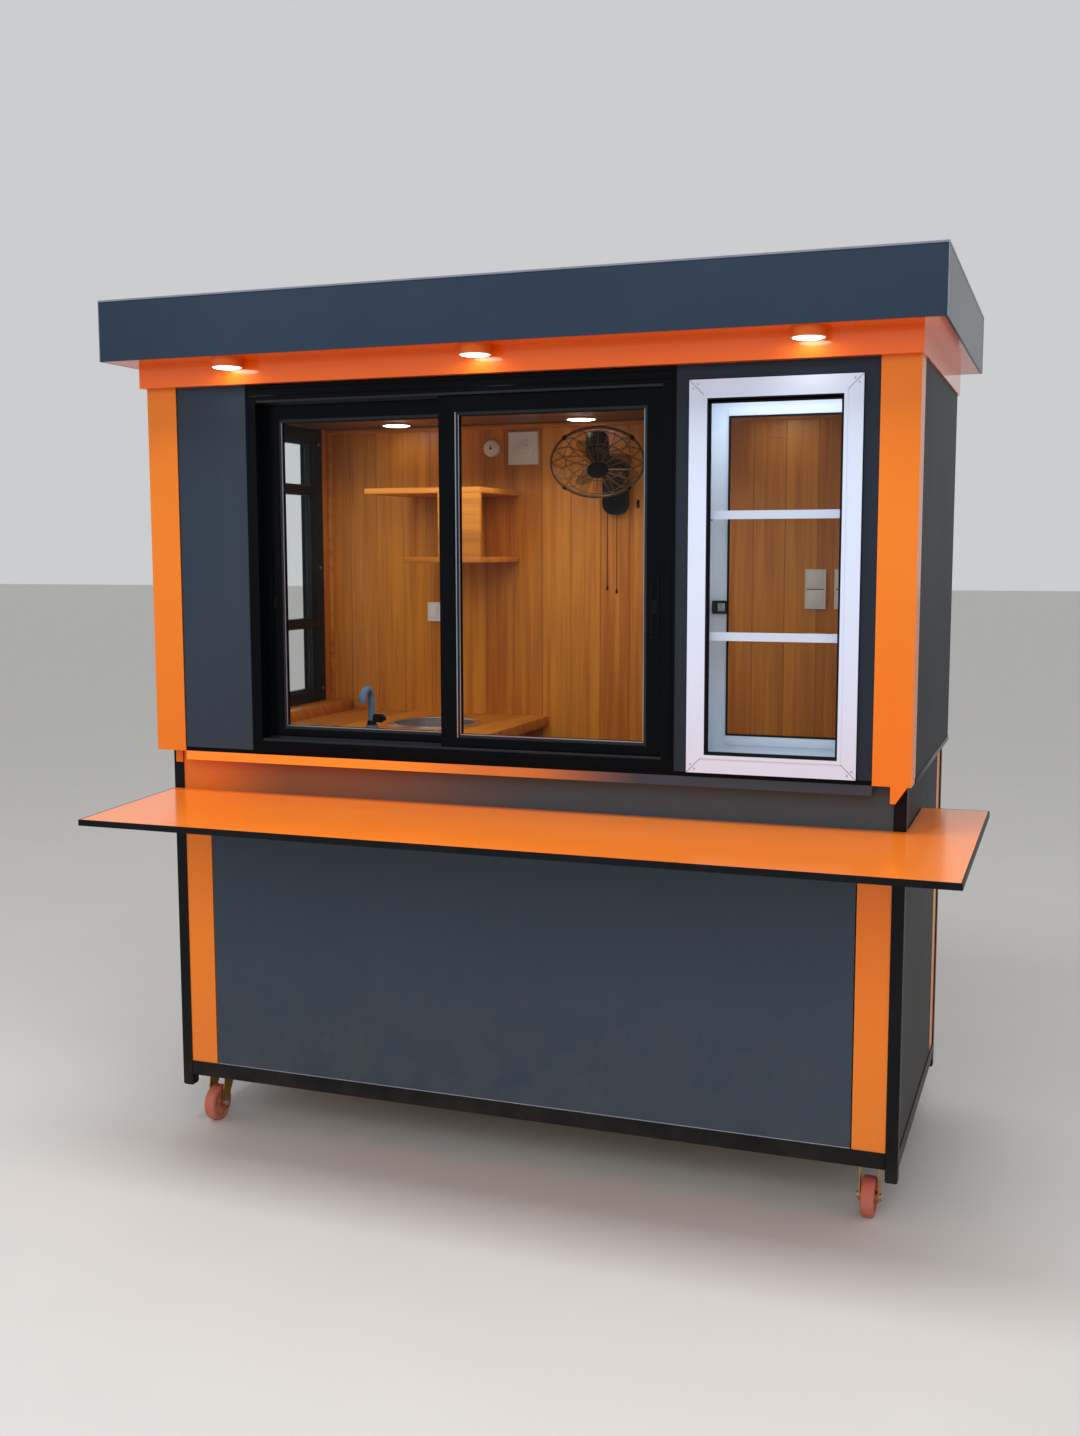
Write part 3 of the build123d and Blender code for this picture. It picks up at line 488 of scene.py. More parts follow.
@dataclass(frozen=True)
class Wood(Finish):
    """Wood-grained board.

    Args:
        light: the light screen colour.
        dark: the dark screen colour.
        grain: which way the planks run.
        plank: a plank's width in metres.
        groove: how strong the grooves between planks are.
        roughness: how dull it is.
    """

    light: Triple = (212, 132, 48)
    dark: Triple = (160, 88, 24)
    grain: Grain = Grain.UPRIGHT
    plank: float = 0.1
    groove: float = 1.0
    roughness: float = 0.3

    def wire(self, tree: Tree) -> bpy.types.NodeSocket:
        """Wire the planked wood group into a shader."""
        place = tree.add("ShaderNodeTexCoord").outputs["Object"]
        x, y, z = tree.add("ShaderNodeSeparateXYZ", {0: place}).outputs
        first, second, along = {Grain.UPRIGHT: (y, x, z), Grain.LEVEL: (y, z, x), Grain.DEEP: (x, z, y)}[self.grain]
        across = tree.maths("ADD", first, second)
        made = WOOD.use(tree, {"Across": across, "Along": along, "Light": srgb(*self.light),
                               "Dark": srgb(*self.dark), "Plank": self.plank, "Groove": self.groove,
                               "Roughness": self.roughness})
        return self.shader(tree, made, WOOD_RELIEF)


@dataclass(frozen=True)
class Metal(Finish):
    """Bare, polished or plated metal.

    Args:
        colour: screen colour.
        stain: the stains' screen colour.
        staining: how strong the stains are.
        brush: how deep the brush lines are.
        roughness: how dull it is.
    """

    colour: Triple = (190, 192, 196)
    stain: Triple = (120, 110, 96)
    staining: float = 0.3
    brush: float = 0.5
    roughness: float = 0.28

    def wire(self, tree: Tree) -> bpy.types.NodeSocket:
        """Wire the brushed metal group into a shader."""
        made = METAL.use(tree, {"Colour": srgb(*self.colour), "Stain": srgb(*self.stain), "Staining": self.staining,
                                "Brush": self.brush, "Roughness": self.roughness})
        return self.shader(tree, made, METAL_RELIEF, Metallic=1.0)


@dataclass(frozen=True)
class Glass(Finish):
    """Clear pane with a few smears.

    Args:
        colour: screen colour.
        smears: how dull the smears are.
        clear: how much of the light falling on what is behind the pane comes straight through it.
    """

    colour: Triple = (240, 247, 246)
    smears: float = 0.05
    clear: float = 0.9

    def wire(self, tree: Tree) -> bpy.types.NodeSocket:
        """Wire the smears into a glass shader."""
        place = tree.add("ShaderNodeTexCoord").outputs["Object"]
        smears = tree.span(tree.noise(place, 5.0, 5.0, 0.6), 0.5, 0.8, 0.0, self.smears)
        path = tree.add("ShaderNodeLightPath").outputs
        falling = tree.maths("MAXIMUM", path["Is Shadow Ray"], path["Is Diffuse Ray"])
        cover = tree.maths("SUBTRACT", 1.0, tree.maths("MULTIPLY", falling, self.clear))
        return self.shader(tree, None, 0.0, Base_Color=srgb(*self.colour), Roughness=smears, IOR=PANE_INDEX,
                           Transmission_Weight=1.0, Alpha=cover)


ORANGE = Sheet("orange_sheet", "orange_panel", (233, 122, 28), (236, 131, 38), roughness=0.24, dust=0.12,
               dust_top=0.55, specks=0.06, coat=0.12, waviness=0.25)
# A lighter copy of the orange for the lower strips: painted light that makes up for the counter's shade on them. Their
# dust is their own.
ORANGE_LOW_BRIGHTENED = replace(ORANGE, name="orange_strip_brightened_sheet", colour=(255, 133, 30), clouded=(255, 141, 38), dust=0.08,
                     dust_top=0.4)
ORANGE_TOP = Sheet("orange_counter_sheet", "orange_panel", (251, 131, 36), (252, 139, 46), roughness=0.2, specks=0.1,
                   coat=0.2, waviness=0.2)
ORANGE_SOFFIT = Sheet("orange_soffit_sheet", "orange_panel", (242, 104, 14), (246, 114, 22), roughness=0.22,
                      specks=0.03, coat=0.6, waviness=0.1)
GREY = Sheet("grey_sheet", "grey_panel", (46, 58, 72), (51, 64, 79), roughness=0.26, dust=0.07, dust_top=0.7,
             specks=0.06, waviness=0.4, cloud_scale=1.1, mirror=0.2)
# A lighter copy of the grey for the lower front panel: painted light that makes up for the counter's shadow on it. Its
# dust is the panel's own.
GREY_LOW_BRIGHTENED = replace(GREY, name="grey_lower_brightened_sheet", colour=(54, 69, 84), clouded=(60, 75, 91), dust=0.08)
GREY_SIDE = Sheet("grey_side_sheet", "grey_panel", (36, 42, 48), (44, 49, 55), roughness=0.45, dust=0.12,
                  dust_top=1.0, specks=0.08, waviness=0.4, cloud_scale=2.2, mirror=0.05)
GREY_SURROUND = Sheet("grey_surround_sheet", "grey_panel", (36, 44, 56), (41, 49, 61), roughness=0.28, specks=0.05,
                      waviness=0.3, mirror=0.15)
GREY_ROOF = Sheet("grey_roof_sheet", "grey_panel", (37, 50, 66), (49, 63, 81), roughness=0.24, specks=0.04,
                  waviness=0.9, cloud_scale=0.9, mirror=0.12)
APRON = FadingSheet("apron_sheet", "grey_panel", (230, 131, 42), roughness=0.22, specks=0.06, waviness=0.3, coat=0.15,
                    middle=(130, 93, 68), far=(60, 82, 95), start=-0.97, centre=-0.62, end=0.15)
# The ledge's orange is lighter than the pilasters' orange. This is painted light that makes up for the shade under the
# upper body. From there its colour passes to grey along the width.
LEDGE_BRIGHTENED = FadingSheet("ledge_brightened_sheet", "orange_panel", (255, 152, 46), roughness=0.22, specks=0.06, waviness=0.3,
                    coat=0.15, middle=(206, 120, 56), far=(54, 62, 74), start=-0.35, centre=0.0, end=0.4)
BLACK = Sheet("black_window_coat", "frame_paint", (4, 7, 11), (7, 11, 16), roughness=0.22, specks=0.02, waviness=0.1,
              mirror=0.08)
STEEL_BLACK = Sheet("black_frame_paint", "frame_paint", (10, 12, 18), (18, 20, 26), roughness=0.4, dust=0.08,
                    dust_top=0.3, specks=0.08, waviness=0.1, cloud_scale=9.0, mirror=0.15)
WHITE = Sheet("white_frame_coat", "white_frame", (209, 224, 249), (215, 229, 251), roughness=0.3, specks=0.05,
              coat=0.1, waviness=0.05)
CASE_WHITE = Sheet("white_case_coat", "white_frame", (214, 226, 240), (222, 232, 244), roughness=0.26, specks=0.05,
                   waviness=0.05)
RUBBER = Sheet("black_gasket_rubber", "frame_paint", (12, 12, 14), (20, 20, 22), roughness=0.62, specks=0.1,
               mirror=0.2)
BEAD = Sheet("dark_glazing_bead", "frame_paint", (24, 29, 35), (30, 35, 41), roughness=0.3, specks=0.1, waviness=0.3)
LINING = Wood("wood_lining_upright", "wood_lining", (226, 146, 44), (184, 102, 20), plank=0.095, groove=0.6)
BOARD = Wood("wood_board_level", "wood_lining", (222, 142, 46), (180, 100, 22), Grain.LEVEL, 0.5, 0.0)
WORKTOP = Wood("wood_worktop", "wood_lining", (222, 144, 46), (182, 102, 22), Grain.DEEP, 0.095, 0.6)
CEILING = Wood("wood_ceiling", "wood_lining", (112, 76, 50), (84, 54, 34), Grain.LEVEL, 0.2, 0.5)
FLOOR_WOOD = Wood("floor_ply", "floor_wood", (176, 138, 92), (140, 102, 62), Grain.LEVEL, 0.24, 0.5, 0.5)
STAINLESS = Metal("stainless_sink", "stainless_steel", (232, 234, 238), staining=0.1, roughness=0.36)
BRIGHT_TRIM = Metal("bright_trim_strip", "white_frame", (176, 184, 200), staining=0.25, roughness=0.3)
ZINC = Metal("yellow_zinc_plate", "yellow_zinc", (190, 150, 78), (112, 76, 40), 0.6, 0.4, 0.36)
NUT_STEEL = Metal("nut_steel", "yellow_zinc", (200, 200, 198), (130, 110, 84), 0.4, 0.3, 0.3)
TREAD = Sheet("red_wheel_tread", "red_tread", (214, 92, 80), (224, 108, 94), roughness=0.45, dust=0.55, dust_top=0.16,
              specks=0.5, cloud_scale=14.0)
WHITE_PLASTIC = Sheet("white_plate_plastic", "white_plastic", (232, 232, 228), (238, 238, 234), roughness=0.32,
                      specks=0.04)
DARK_PLASTIC = Sheet("black_fan_plastic", "black_plastic", (5, 6, 8), (9, 10, 12), roughness=0.4, specks=0.03,
                     mirror=0.15)
WIRE = Sheet("black_guard_wire", "black_wire", (20, 20, 22), (30, 30, 32), roughness=0.35, specks=0.1)
CAGE_WIRE = Sheet("dull_cage_wire", "black_wire", (104, 76, 48), (116, 86, 56), roughness=0.4, specks=0.1)
BLADE = Sheet("smoky_fan_blade", "black_plastic", (46, 36, 30), (56, 45, 38), roughness=0.4, specks=0.05, mirror=0.1,
              cover=0.3)
TAP_BLUE = Sheet("blue_tap_plastic", "tap_plastic", (88, 132, 166), (108, 150, 180), roughness=0.25, specks=0.05,
                 coat=0.3)
LENS = Sheet("glowing_lens", "light_lens", (255, 248, 236), (255, 250, 242), roughness=0.4, specks=0.0, glow=10.0)
LIGHT_HOUSING = Sheet("light_housing", "light_lens", (222, 98, 28), (228, 106, 34), roughness=0.3, specks=0.0)
PANE = Glass("window_pane", "clear_glass", (250, 253, 253))
SHELF_GLASS = Glass("shelf_pane", "clear_glass", (240, 250, 248), 0.03)


def corners(first: Triple, second: Triple) -> tuple[Vector, Vector]:
    """Sort two opposite corners of a box.

    Args:
        first: one corner.
        second: the opposite corner.

    Returns:
        The lowest and the highest corner.
    """
    return Vector([min(pair) for pair in zip(first, second)]), Vector([max(pair) for pair in zip(first, second)])


def upright(low: Vector, high: Vector, inset: float, front: float, back: float) -> tuple[Vector, Vector]:
    """Give the corners of a slab that stands within a box's outline, as seen from the front.

    Args:
        low: the box's lowest corner.
        high: the box's highest corner.
        inset: how far the slab's edges lie inside the outline.
        front: where the slab starts along y.
        back: where it ends along y.

    Returns:
        The slab's lowest and highest corners.
    """
    return Vector((low.x + inset, front, low.z + inset)), Vector((high.x - inset, back, high.z - inset))


def run(edge: bmesh.types.BMEdge) -> Vector:
    """Give the way that an edge runs, from one of its ends to the other."""
    return edge.verts[0].co - edge.verts[1].co


class Shape:
    """One piece being modelled, in metres, in the kiosk's frame."""

    def __init__(self, name: str) -> None:
        """Start an empty piece.

        Args:
            name: the piece's name.
        """
        self.name = name
        self.mesh = bmesh.new()

    def _round(self, edges: Iterable[bmesh.types.BMEdge], width: float, segments: int = 2) -> None:
        """Bevel edges, where the bevel has a width.

        Args:
            edges: the edges.
            width: the bevel's width.
            segments: the faces across it.
        """
        if width > 0:
            bmesh.ops.bevel(self.mesh, geom=list(edges), offset=width, offset_type="OFFSET", segments=segments,
                            profile=0.5, affect="EDGES", material=-1, clamp_overlap=True)

    def block(self, first: Triple, second: Triple, bevel: float = 0.0, segments: int = 2,
              turn: Matrix | None = None) -> None:
        """Add a block between two opposite corners.

        Args:
            first: one corner.
            second: the opposite corner.
            bevel: the width of its rounded edges.
            segments: the faces across a rounded edge.
            turn: a turn about the block's own middle.
        """
        low, high = corners(first, second)
        placed = (Matrix.Translation((low + high) / 2) @ (turn or Matrix.Identity(4))
                  @ Matrix.Diagonal((*(high - low), 1.0)))
        made = bmesh.ops.create_cube(self.mesh, size=1.0, matrix=placed)
        self._round({edge for vert in made["verts"] for edge in vert.link_edges}, bevel, segments)

    def rod(self, start: Triple, end: Triple, radius: float, sides: int = 20, end_radius: float | None = None,
            bevel: float = 0.0) -> None:
        """Add a round bar, a disc or a cone between two points.

        Args:
            start: the middle of one end.
            end: the middle of the other end.
            radius: its radius at the start.
            sides: how many sides it has.
            end_radius: its radius at the end, if that differs.
            bevel: the width of its rounded rims.
        """
        start, along = Vector(start), Vector(end) - Vector(start)
        placed = Matrix.Translation(start + along / 2) @ Z.rotation_difference(along).to_matrix().to_4x4()
        made = bmesh.ops.create_cone(self.mesh, cap_ends=True, segments=sides, radius1=radius,
                                     radius2=radius if end_radius is None else end_radius, depth=along.length,
                                     matrix=placed)
        if bevel:
            self._round({edge for vert in made["verts"] for edge in vert.link_edges
                         if abs(run(edge).normalized().dot(along.normalized())) < 0.5}, bevel)

    def hoop(self, centre: Triple, axis: Triple, radius: float, wire: float, steps: int = 72,
             sides: int = 8) -> None:
        """Add a round wire bent to a full circle.

        Args:
            centre: the circle's centre.
            axis: the circle's axis.
            radius: the circle's radius.
            wire: the wire's radius.
            steps: the faces round the circle.
            sides: the faces round the wire.
        """
        centre, axis = Vector(centre), Vector(axis).normalized()
        outward = axis.orthogonal().normalized()
        turn = Matrix((outward, axis, outward.cross(axis))).transposed().to_4x4()
        circle = bmesh.ops.create_circle(self.mesh, cap_ends=False, segments=sides, radius=wire,
                                         matrix=Matrix.Translation(centre + outward * radius) @ turn)
        edges = list({edge for vert in circle["verts"] for edge in vert.link_edges})
        bmesh.ops.spin(self.mesh, geom=circle["verts"] + edges, cent=centre, axis=axis, angle=math.tau,
                       steps=steps, use_merge=True)

    def turned(self, centre: Triple, axis: Triple, outline: Sequence[Sequence[float]], steps: int = 48) -> None:
        """Add a shape turned about an axis from a closed outline.

        Args:
            centre: where the axis starts.
            axis: its direction.
            outline: pairs of radius and distance along the axis.
            steps: the faces round it.
        """
        centre, axis = Vector(centre), Vector(axis).normalized()
        outward = axis.orthogonal().normalized()
        verts = [self.mesh.verts.new(centre + outward * radius + axis * along) for radius, along in outline]
        edges = [self.mesh.edges.new((first, second)) for first, second in zip(verts, verts[1:] + verts[:1])]
        bmesh.ops.spin(self.mesh, geom=verts + edges, cent=centre, axis=axis, angle=math.tau, steps=steps,
                       use_merge=True)
        bmesh.ops.remove_doubles(self.mesh, verts=self.mesh.verts, dist=1e-6)

    def border(self, first: Triple, second: Triple, width: float, thin: int = 1, bevel: float = 0.0) -> None:
        """Add a frame with mitred corners that fills a box's edge.

        Args:
            first: one corner of the box.
            second: the opposite corner.
            width: the frame's width.
            thin: the number of the axis that the frame is thin along.
            bevel: the width of its rounded edges.
        """
        low, high = corners(first, second)
        across, along = [number for number in range(3) if number != thin]
        outline = []
        for ends in ((low, low), (high, low), (high, high), (low, high)):
            corner = low.copy()
            corner[across], corner[along] = ends[0][across], ends[1][along]
            outline.append(self.mesh.verts.new(corner))
        face = self.mesh.faces.new(outline)
        face.normal_update()
        ring = bmesh.ops.inset_region(self.mesh, faces=[face], thickness=width, use_boundary=True,
                                      use_even_offset=True)["faces"]
        bmesh.ops.delete(self.mesh, geom=[face], context="FACES_ONLY")
        grown = bmesh.ops.extrude_face_region(self.mesh, geom=ring)["geom"]
        depth = Vector((0.0, 0.0, 0.0))
        depth[thin] = high[thin] - low[thin]
        moved = [part for part in grown if isinstance(part, bmesh.types.BMVert)]
        bmesh.ops.translate(self.mesh, vec=depth, verts=moved)
        self._round({edge for vert in moved for edge in vert.link_edges
                     if [abs(reach) > 1e-6 for reach in run(edge)].count(True) == 1
                     and abs(run(edge)[thin]) < 1e-9}, bevel)

    def ball(self, centre: Triple, radius: float, squash: float = 1.0, axis: Triple = (0, 0, 1)) -> None:
        """Add a ball or a dome head.

        Args:
            centre: its centre.
            radius: its radius.
            squash: its height along the axis over its width.
            axis: the direction that it is flattened along.
        """
        placed = (Matrix.Translation(Vector(centre)) @ Z.rotation_difference(Vector(axis)).to_matrix().to_4x4()
                  @ Matrix.Diagonal((1.0, 1.0, squash, 1.0)))
        bmesh.ops.create_uvsphere(self.mesh, u_segments=16, v_segments=10, radius=radius, matrix=placed)

    def finish(self, look: Finish, body: str = BODY, replaces: Sequence[str] = ()) -> None:
        """Make the piece an object, dress it and tie it to its body.

        Args:
            look: its finish.
            body: the body that it moves with.
            replaces: the CAD nodes that it stands for.
        """
        bmesh.ops.recalc_face_normals(self.mesh, faces=self.mesh.faces)
        data = bpy.data.meshes.new(self.name)
        self.mesh.to_mesh(data)
        self.mesh.free()
        for polygon in data.polygons:
            polygon.use_smooth = True
        data.set_sharp_from_angle(angle=SHARP_FROM)
        data.materials.append(look.material())
        piece = bpy.data.objects.new(self.name, data)
        bpy.context.scene.collection.objects.link(piece)
        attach(piece, body)
        if replaces:
            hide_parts(*replaces)
        log.info("%s: %d faces", self.name, len(data.polygons))


def dress(look: Finish, *nodes: str) -> None:
    """Give CAD nodes a finish.

    Args:
        look: the finish.
        *nodes: the nodes' names.
    """
    for node in nodes:
        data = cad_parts[node].data
        data.materials.clear()
        data.materials.append(look.material())


@dataclass
class Studio:
    """Floor, light and camera.

    Args:
        eye: the camera's place, measured from the middle of the base's front foot.
        yaw: how far it is turned to the left, in radians.
        pitch: how far it looks up, in radians.
        roll: its tilt, in radians.
        lens: the lens in millimetres.
        sensor: the sensor's height in millimetres.
        daylight: how strong the even light from all round is.
        backdrop: the linear colour that shows behind the kiosk and in its reflections.
        ground: half the floor's width.
    """

    eye: Triple = (1.369, -3.486, 1.626)
    yaw: float = 0.352
    pitch: float = -0.112
    roll: float = -0.002
    lens: float = 37.03
    sensor: float = 36.0
    daylight: float = 0.54
    backdrop: Triple = (0.60, 0.61, 0.62)
    ground: float = 60.0

    def camera(self) -> None:
        """Place the camera as the photo was taken."""
        data = bpy.data.cameras.new("camera")
        data.sensor_fit, data.sensor_height, data.lens = "VERTICAL", self.sensor, self.lens
        data.clip_end = 200.0
        ahead = Vector((-math.sin(self.yaw) * math.cos(self.pitch), math.cos(self.yaw) * math.cos(self.pitch),
                        math.sin(self.pitch)))
        right = Vector((math.cos(self.yaw), math.sin(self.yaw), 0.0))
        above = right.cross(ahead)
        tilted = right * math.cos(self.roll) + above * math.sin(self.roll)
        raised = above * math.cos(self.roll) - right * math.sin(self.roll)
        turn = Matrix((tilted, raised, -ahead)).transposed().to_4x4()
        placed = bpy.data.objects.new("camera", data)
        bpy.context.scene.collection.objects.link(placed)
        placed.matrix_world = Matrix.Translation(at(*self.eye)) @ turn
        bpy.context.scene.camera = placed

    def lamp(self, name: str, place: Triple, target: Triple, size: Sequence[float], power: float,
             colour: Triple = (1.0, 1.0, 1.0)) -> None:
        """Add a soft rectangular lamp that stays out of reflections and of the picture.

        Args:
            name: the lamp's name.
            place: where it is, measured from the middle of the base's front foot.
            target: what it shines at, measured in the same way.
            size: its width and height.
            power: its power in watts.
            colour: its linear colour.
        """
        data = bpy.data.lights.new(name, "AREA")
        data.shape, data.size, data.size_y = "RECTANGLE", size[0], size[1]
        data.energy, data.color = power, colour
        lamp = bpy.data.objects.new(name, data)
        bpy.context.scene.collection.objects.link(lamp)
        start, end = at(*place), at(*target)
        lamp.matrix_world = Matrix.Translation(start) @ (end - start).to_track_quat("-Z", "Y").to_matrix().to_4x4()
        lamp.visible_camera = lamp.visible_glossy = lamp.visible_transmission = False

    def light(self) -> None:
        """Light the kiosk plainly from outside, and its room from under its ceiling."""
        world = bpy.data.worlds.new("studio")
        bpy.context.scene.world = world
        world.use_nodes = True
        tree = Tree(world.node_tree)
        path = tree.add("ShaderNodeLightPath").outputs
        seen = tree.maths("ADD", path["Is Camera Ray"],
                          tree.maths("ADD", path["Is Glossy Ray"], path["Is Transmission Ray"]), clamp=True)
        plain = tree.add("ShaderNodeBackground", {"Color": (1.0, 1.0, 1.0, 1.0), "Strength": self.daylight})
        shown = tree.add("ShaderNodeBackground", {"Color": (*self.backdrop, 1.0), "Strength": 1.0})
        mixed = tree.add("ShaderNodeMixShader", {0: seen, 1: plain.outputs[0], 2: shown.outputs[0]})
        tree.add("ShaderNodeOutputWorld", {"Surface": mixed.outputs[0]})
        self.lamp("key", (0.9, -5.2, 3.4), (0.0, 0.0, 1.1), (3.4, 2.4), 75.0)
        self.lamp("top", (0.1, -1.3, 4.6), (0.1, -0.3, 0.97), (3.4, 1.2), 108.0)
        self.lamp("room", (-0.25, 0.45, 1.86), (-0.25, 0.50, 0.0), (1.2, 0.4), 3.5, (1.0, 0.95, 0.86))
        self.lamp("case", (0.686, 0.03, 2.012), (0.686, 0.06, 0.0), (0.34, 0.08), 0.6)

    def floor(self) -> None:
        """Lay the pale floor."""
        ground = Shape("studio_floor")
        bmesh.ops.create_grid(ground.mesh, x_segments=1, y_segments=1, size=self.ground)
        data = bpy.data.meshes.new("studio_floor")
        ground.mesh.to_mesh(data)
        ground.mesh.free()
        pale = bpy.data.materials.new("studio_floor")
        pale.use_nodes = True
        tree = Tree(pale.node_tree)
        cloth = tree.noise(tree.add("ShaderNodeTexCoord").outputs["Object"], 3.0, 4.0)
        colour = tree.blend(cloth, (0.70, 0.69, 0.67, 1.0), (0.74, 0.73, 0.71, 1.0))
        shader = tree.add("ShaderNodeBsdfPrincipled", {"Base Color": colour, "Roughness": 0.8})
        tree.add("ShaderNodeOutputMaterial", {"Surface": shader.outputs[0]})
        data.materials.append(pale)
        placed = bpy.data.objects.new("studio_floor", data)
        bpy.context.scene.collection.objects.link(placed)

    def build(self) -> None:
        """Set up the studio."""
        bpy.context.scene.view_settings.view_transform = "Standard"
        self.camera()
        self.light()
        self.floor()


@dataclass
class Base:
    """Steel frame, lower panels and their trims.

    Args:
        trim: the height of the bright line under the front panel.
        plug: the height of the rubber plugs in the post feet.
        post: the posts' width.
        welds: how many weld beads one post has on one side of the kiosk.
        weld: the pitch of the weld beads.
    """

    trim: float = 0.003
    plug: float = 0.004
    post: float = 0.03
    welds: int = 9
    weld: float = 0.004

    def build(self) -> None:
        """Dress the frame and panels and add the bright line, the post plugs and the weld beads."""
        dress(STEEL_BLACK, "corner_posts", "bottom_rails", "floor_joists")
        dress(FLOOR_WOOD, "floor_board")
        # The lower front panel takes a brightened grey, painted light against the counter's shadow.
        dress(GREY_LOW_BRIGHTENED, "lower_front_panel")
        dress(GREY, "back_wall")
        dress(GREY_SIDE, "lower_side_panels")
        # The orange strips take a brightened orange, painted light against the counter's shade.
        dress(ORANGE_LOW_BRIGHTENED, "orange_strips")
        low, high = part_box("lower_front_panel")
        line = Shape("front_panel_bright_line")
        line.block((low.x, low.y - 0.0012, low.z), (high.x, low.y + 0.001, low.z + self.trim), 0.0005)
        line.finish(BRIGHT_TRIM)
        plugs = Shape("post_foot_plugs")
        inner = self.post - 0.001
        for x in (POST_LOW.x, POST_HIGH.x - self.post):
            for y in (POST_LOW.y, POST_HIGH.y - self.post):
                plugs.block((x + 0.001, y + 0.001, POST_LOW.z - self.plug),
                            (x + inner, y + inner, POST_LOW.z + 0.001), 0.002)
        plugs.finish(RUBBER)
        self.weld_beads()

    def weld_beads(self) -> None:
        """Add the weld beads where the bottom rails meet the posts."""
        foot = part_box("bottom_rails")[0].z
        beads = Shape("frame_weld_beads")
        for x in (POST_LOW.x + self.post + 0.0002, POST_HIGH.x - self.post - 0.0002):
            for y in (POST_LOW.y, POST_HIGH.y):
                for step in range(self.welds):
                    beads.ball((x, y, foot + (step + 1) * self.weld), 0.0026, 0.6)
        beads.finish(STEEL_BLACK)


@dataclass
class Counter:
    """Serving counter, the apron above it and the ledge.

    Args:
        seam: the width of the sealant line.
    """

    seam: float = 0.003

    def build(self) -> None:
        """Dress the counter and the apron and add the sealant line between them."""
        dress(ORANGE_TOP, "counter_top")
        dress(STEEL_BLACK, "counter_edge", "counter_brackets")
        dress(APRON, "apron_panel")
        # The ledge's colours are brightened: painted light against the shade under the upper body.
        dress(LEDGE_BRIGHTENED, "ledge_strip")
        low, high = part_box("apron_panel")
        seal = Shape("counter_sealant")
        seal.block((low.x, low.y - self.seam, low.z), (high.x, low.y + 0.001, low.z + self.seam), 0.001)
        seal.finish(RUBBER)


@dataclass
class UpperBody:
    """Corner casings, panels, side walls and the orange band.

    Args:
        joint: the width of the dark joint line at each outer edge of the front panels.
    """

    joint: float = 0.0022

    def build(self) -> None:
        """Dress the walls and add the joint lines and the black trim under the side walls."""
        dress(ORANGE, "pilaster_left", "pilaster_right")
        dress(ORANGE_SOFFIT, "header_band")
        dress(GREY, "left_front_panel")
        dress(GREY_SURROUND, "display_surround")
        dress(GREY_SIDE, "left_wall", "right_wall")
        # The sill rail is a real support under the panels. Its black also stands for the shadow in the gap beneath
        # them, which is painted shade.
        dress(BLACK, "sill_rail")
        joints = Shape("upper_joint_lines")
        panel_low, panel_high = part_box("left_front_panel")
        for x in (panel_low.x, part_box("display_surround")[1].x):
            joints.block((x - self.joint / 2, panel_low.y - 0.0015, panel_low.z),
                         (x + self.joint / 2, panel_low.y + 0.002, panel_high.z), 0.0004)
        window_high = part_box("window_frame")[1]
        joints.block((window_high.x - 0.0005, panel_low.y - 0.0012, panel_low.z),
                     (window_high.x + 0.0018, panel_low.y + 0.002, panel_high.z), 0.0004)
        joints.finish(RUBBER)
        skirts = Shape("side_wall_skirts")
        (low, high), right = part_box("left_wall"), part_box("right_wall")[1].x
        for outer, inner in ((low.x - 0.002, low.x + 0.013), (right + 0.002, right)):
            skirts.block((outer, low.y, low.z - 0.004), (inner, high.y, low.z + 0.010), 0.001)
        skirts.finish(BLACK)


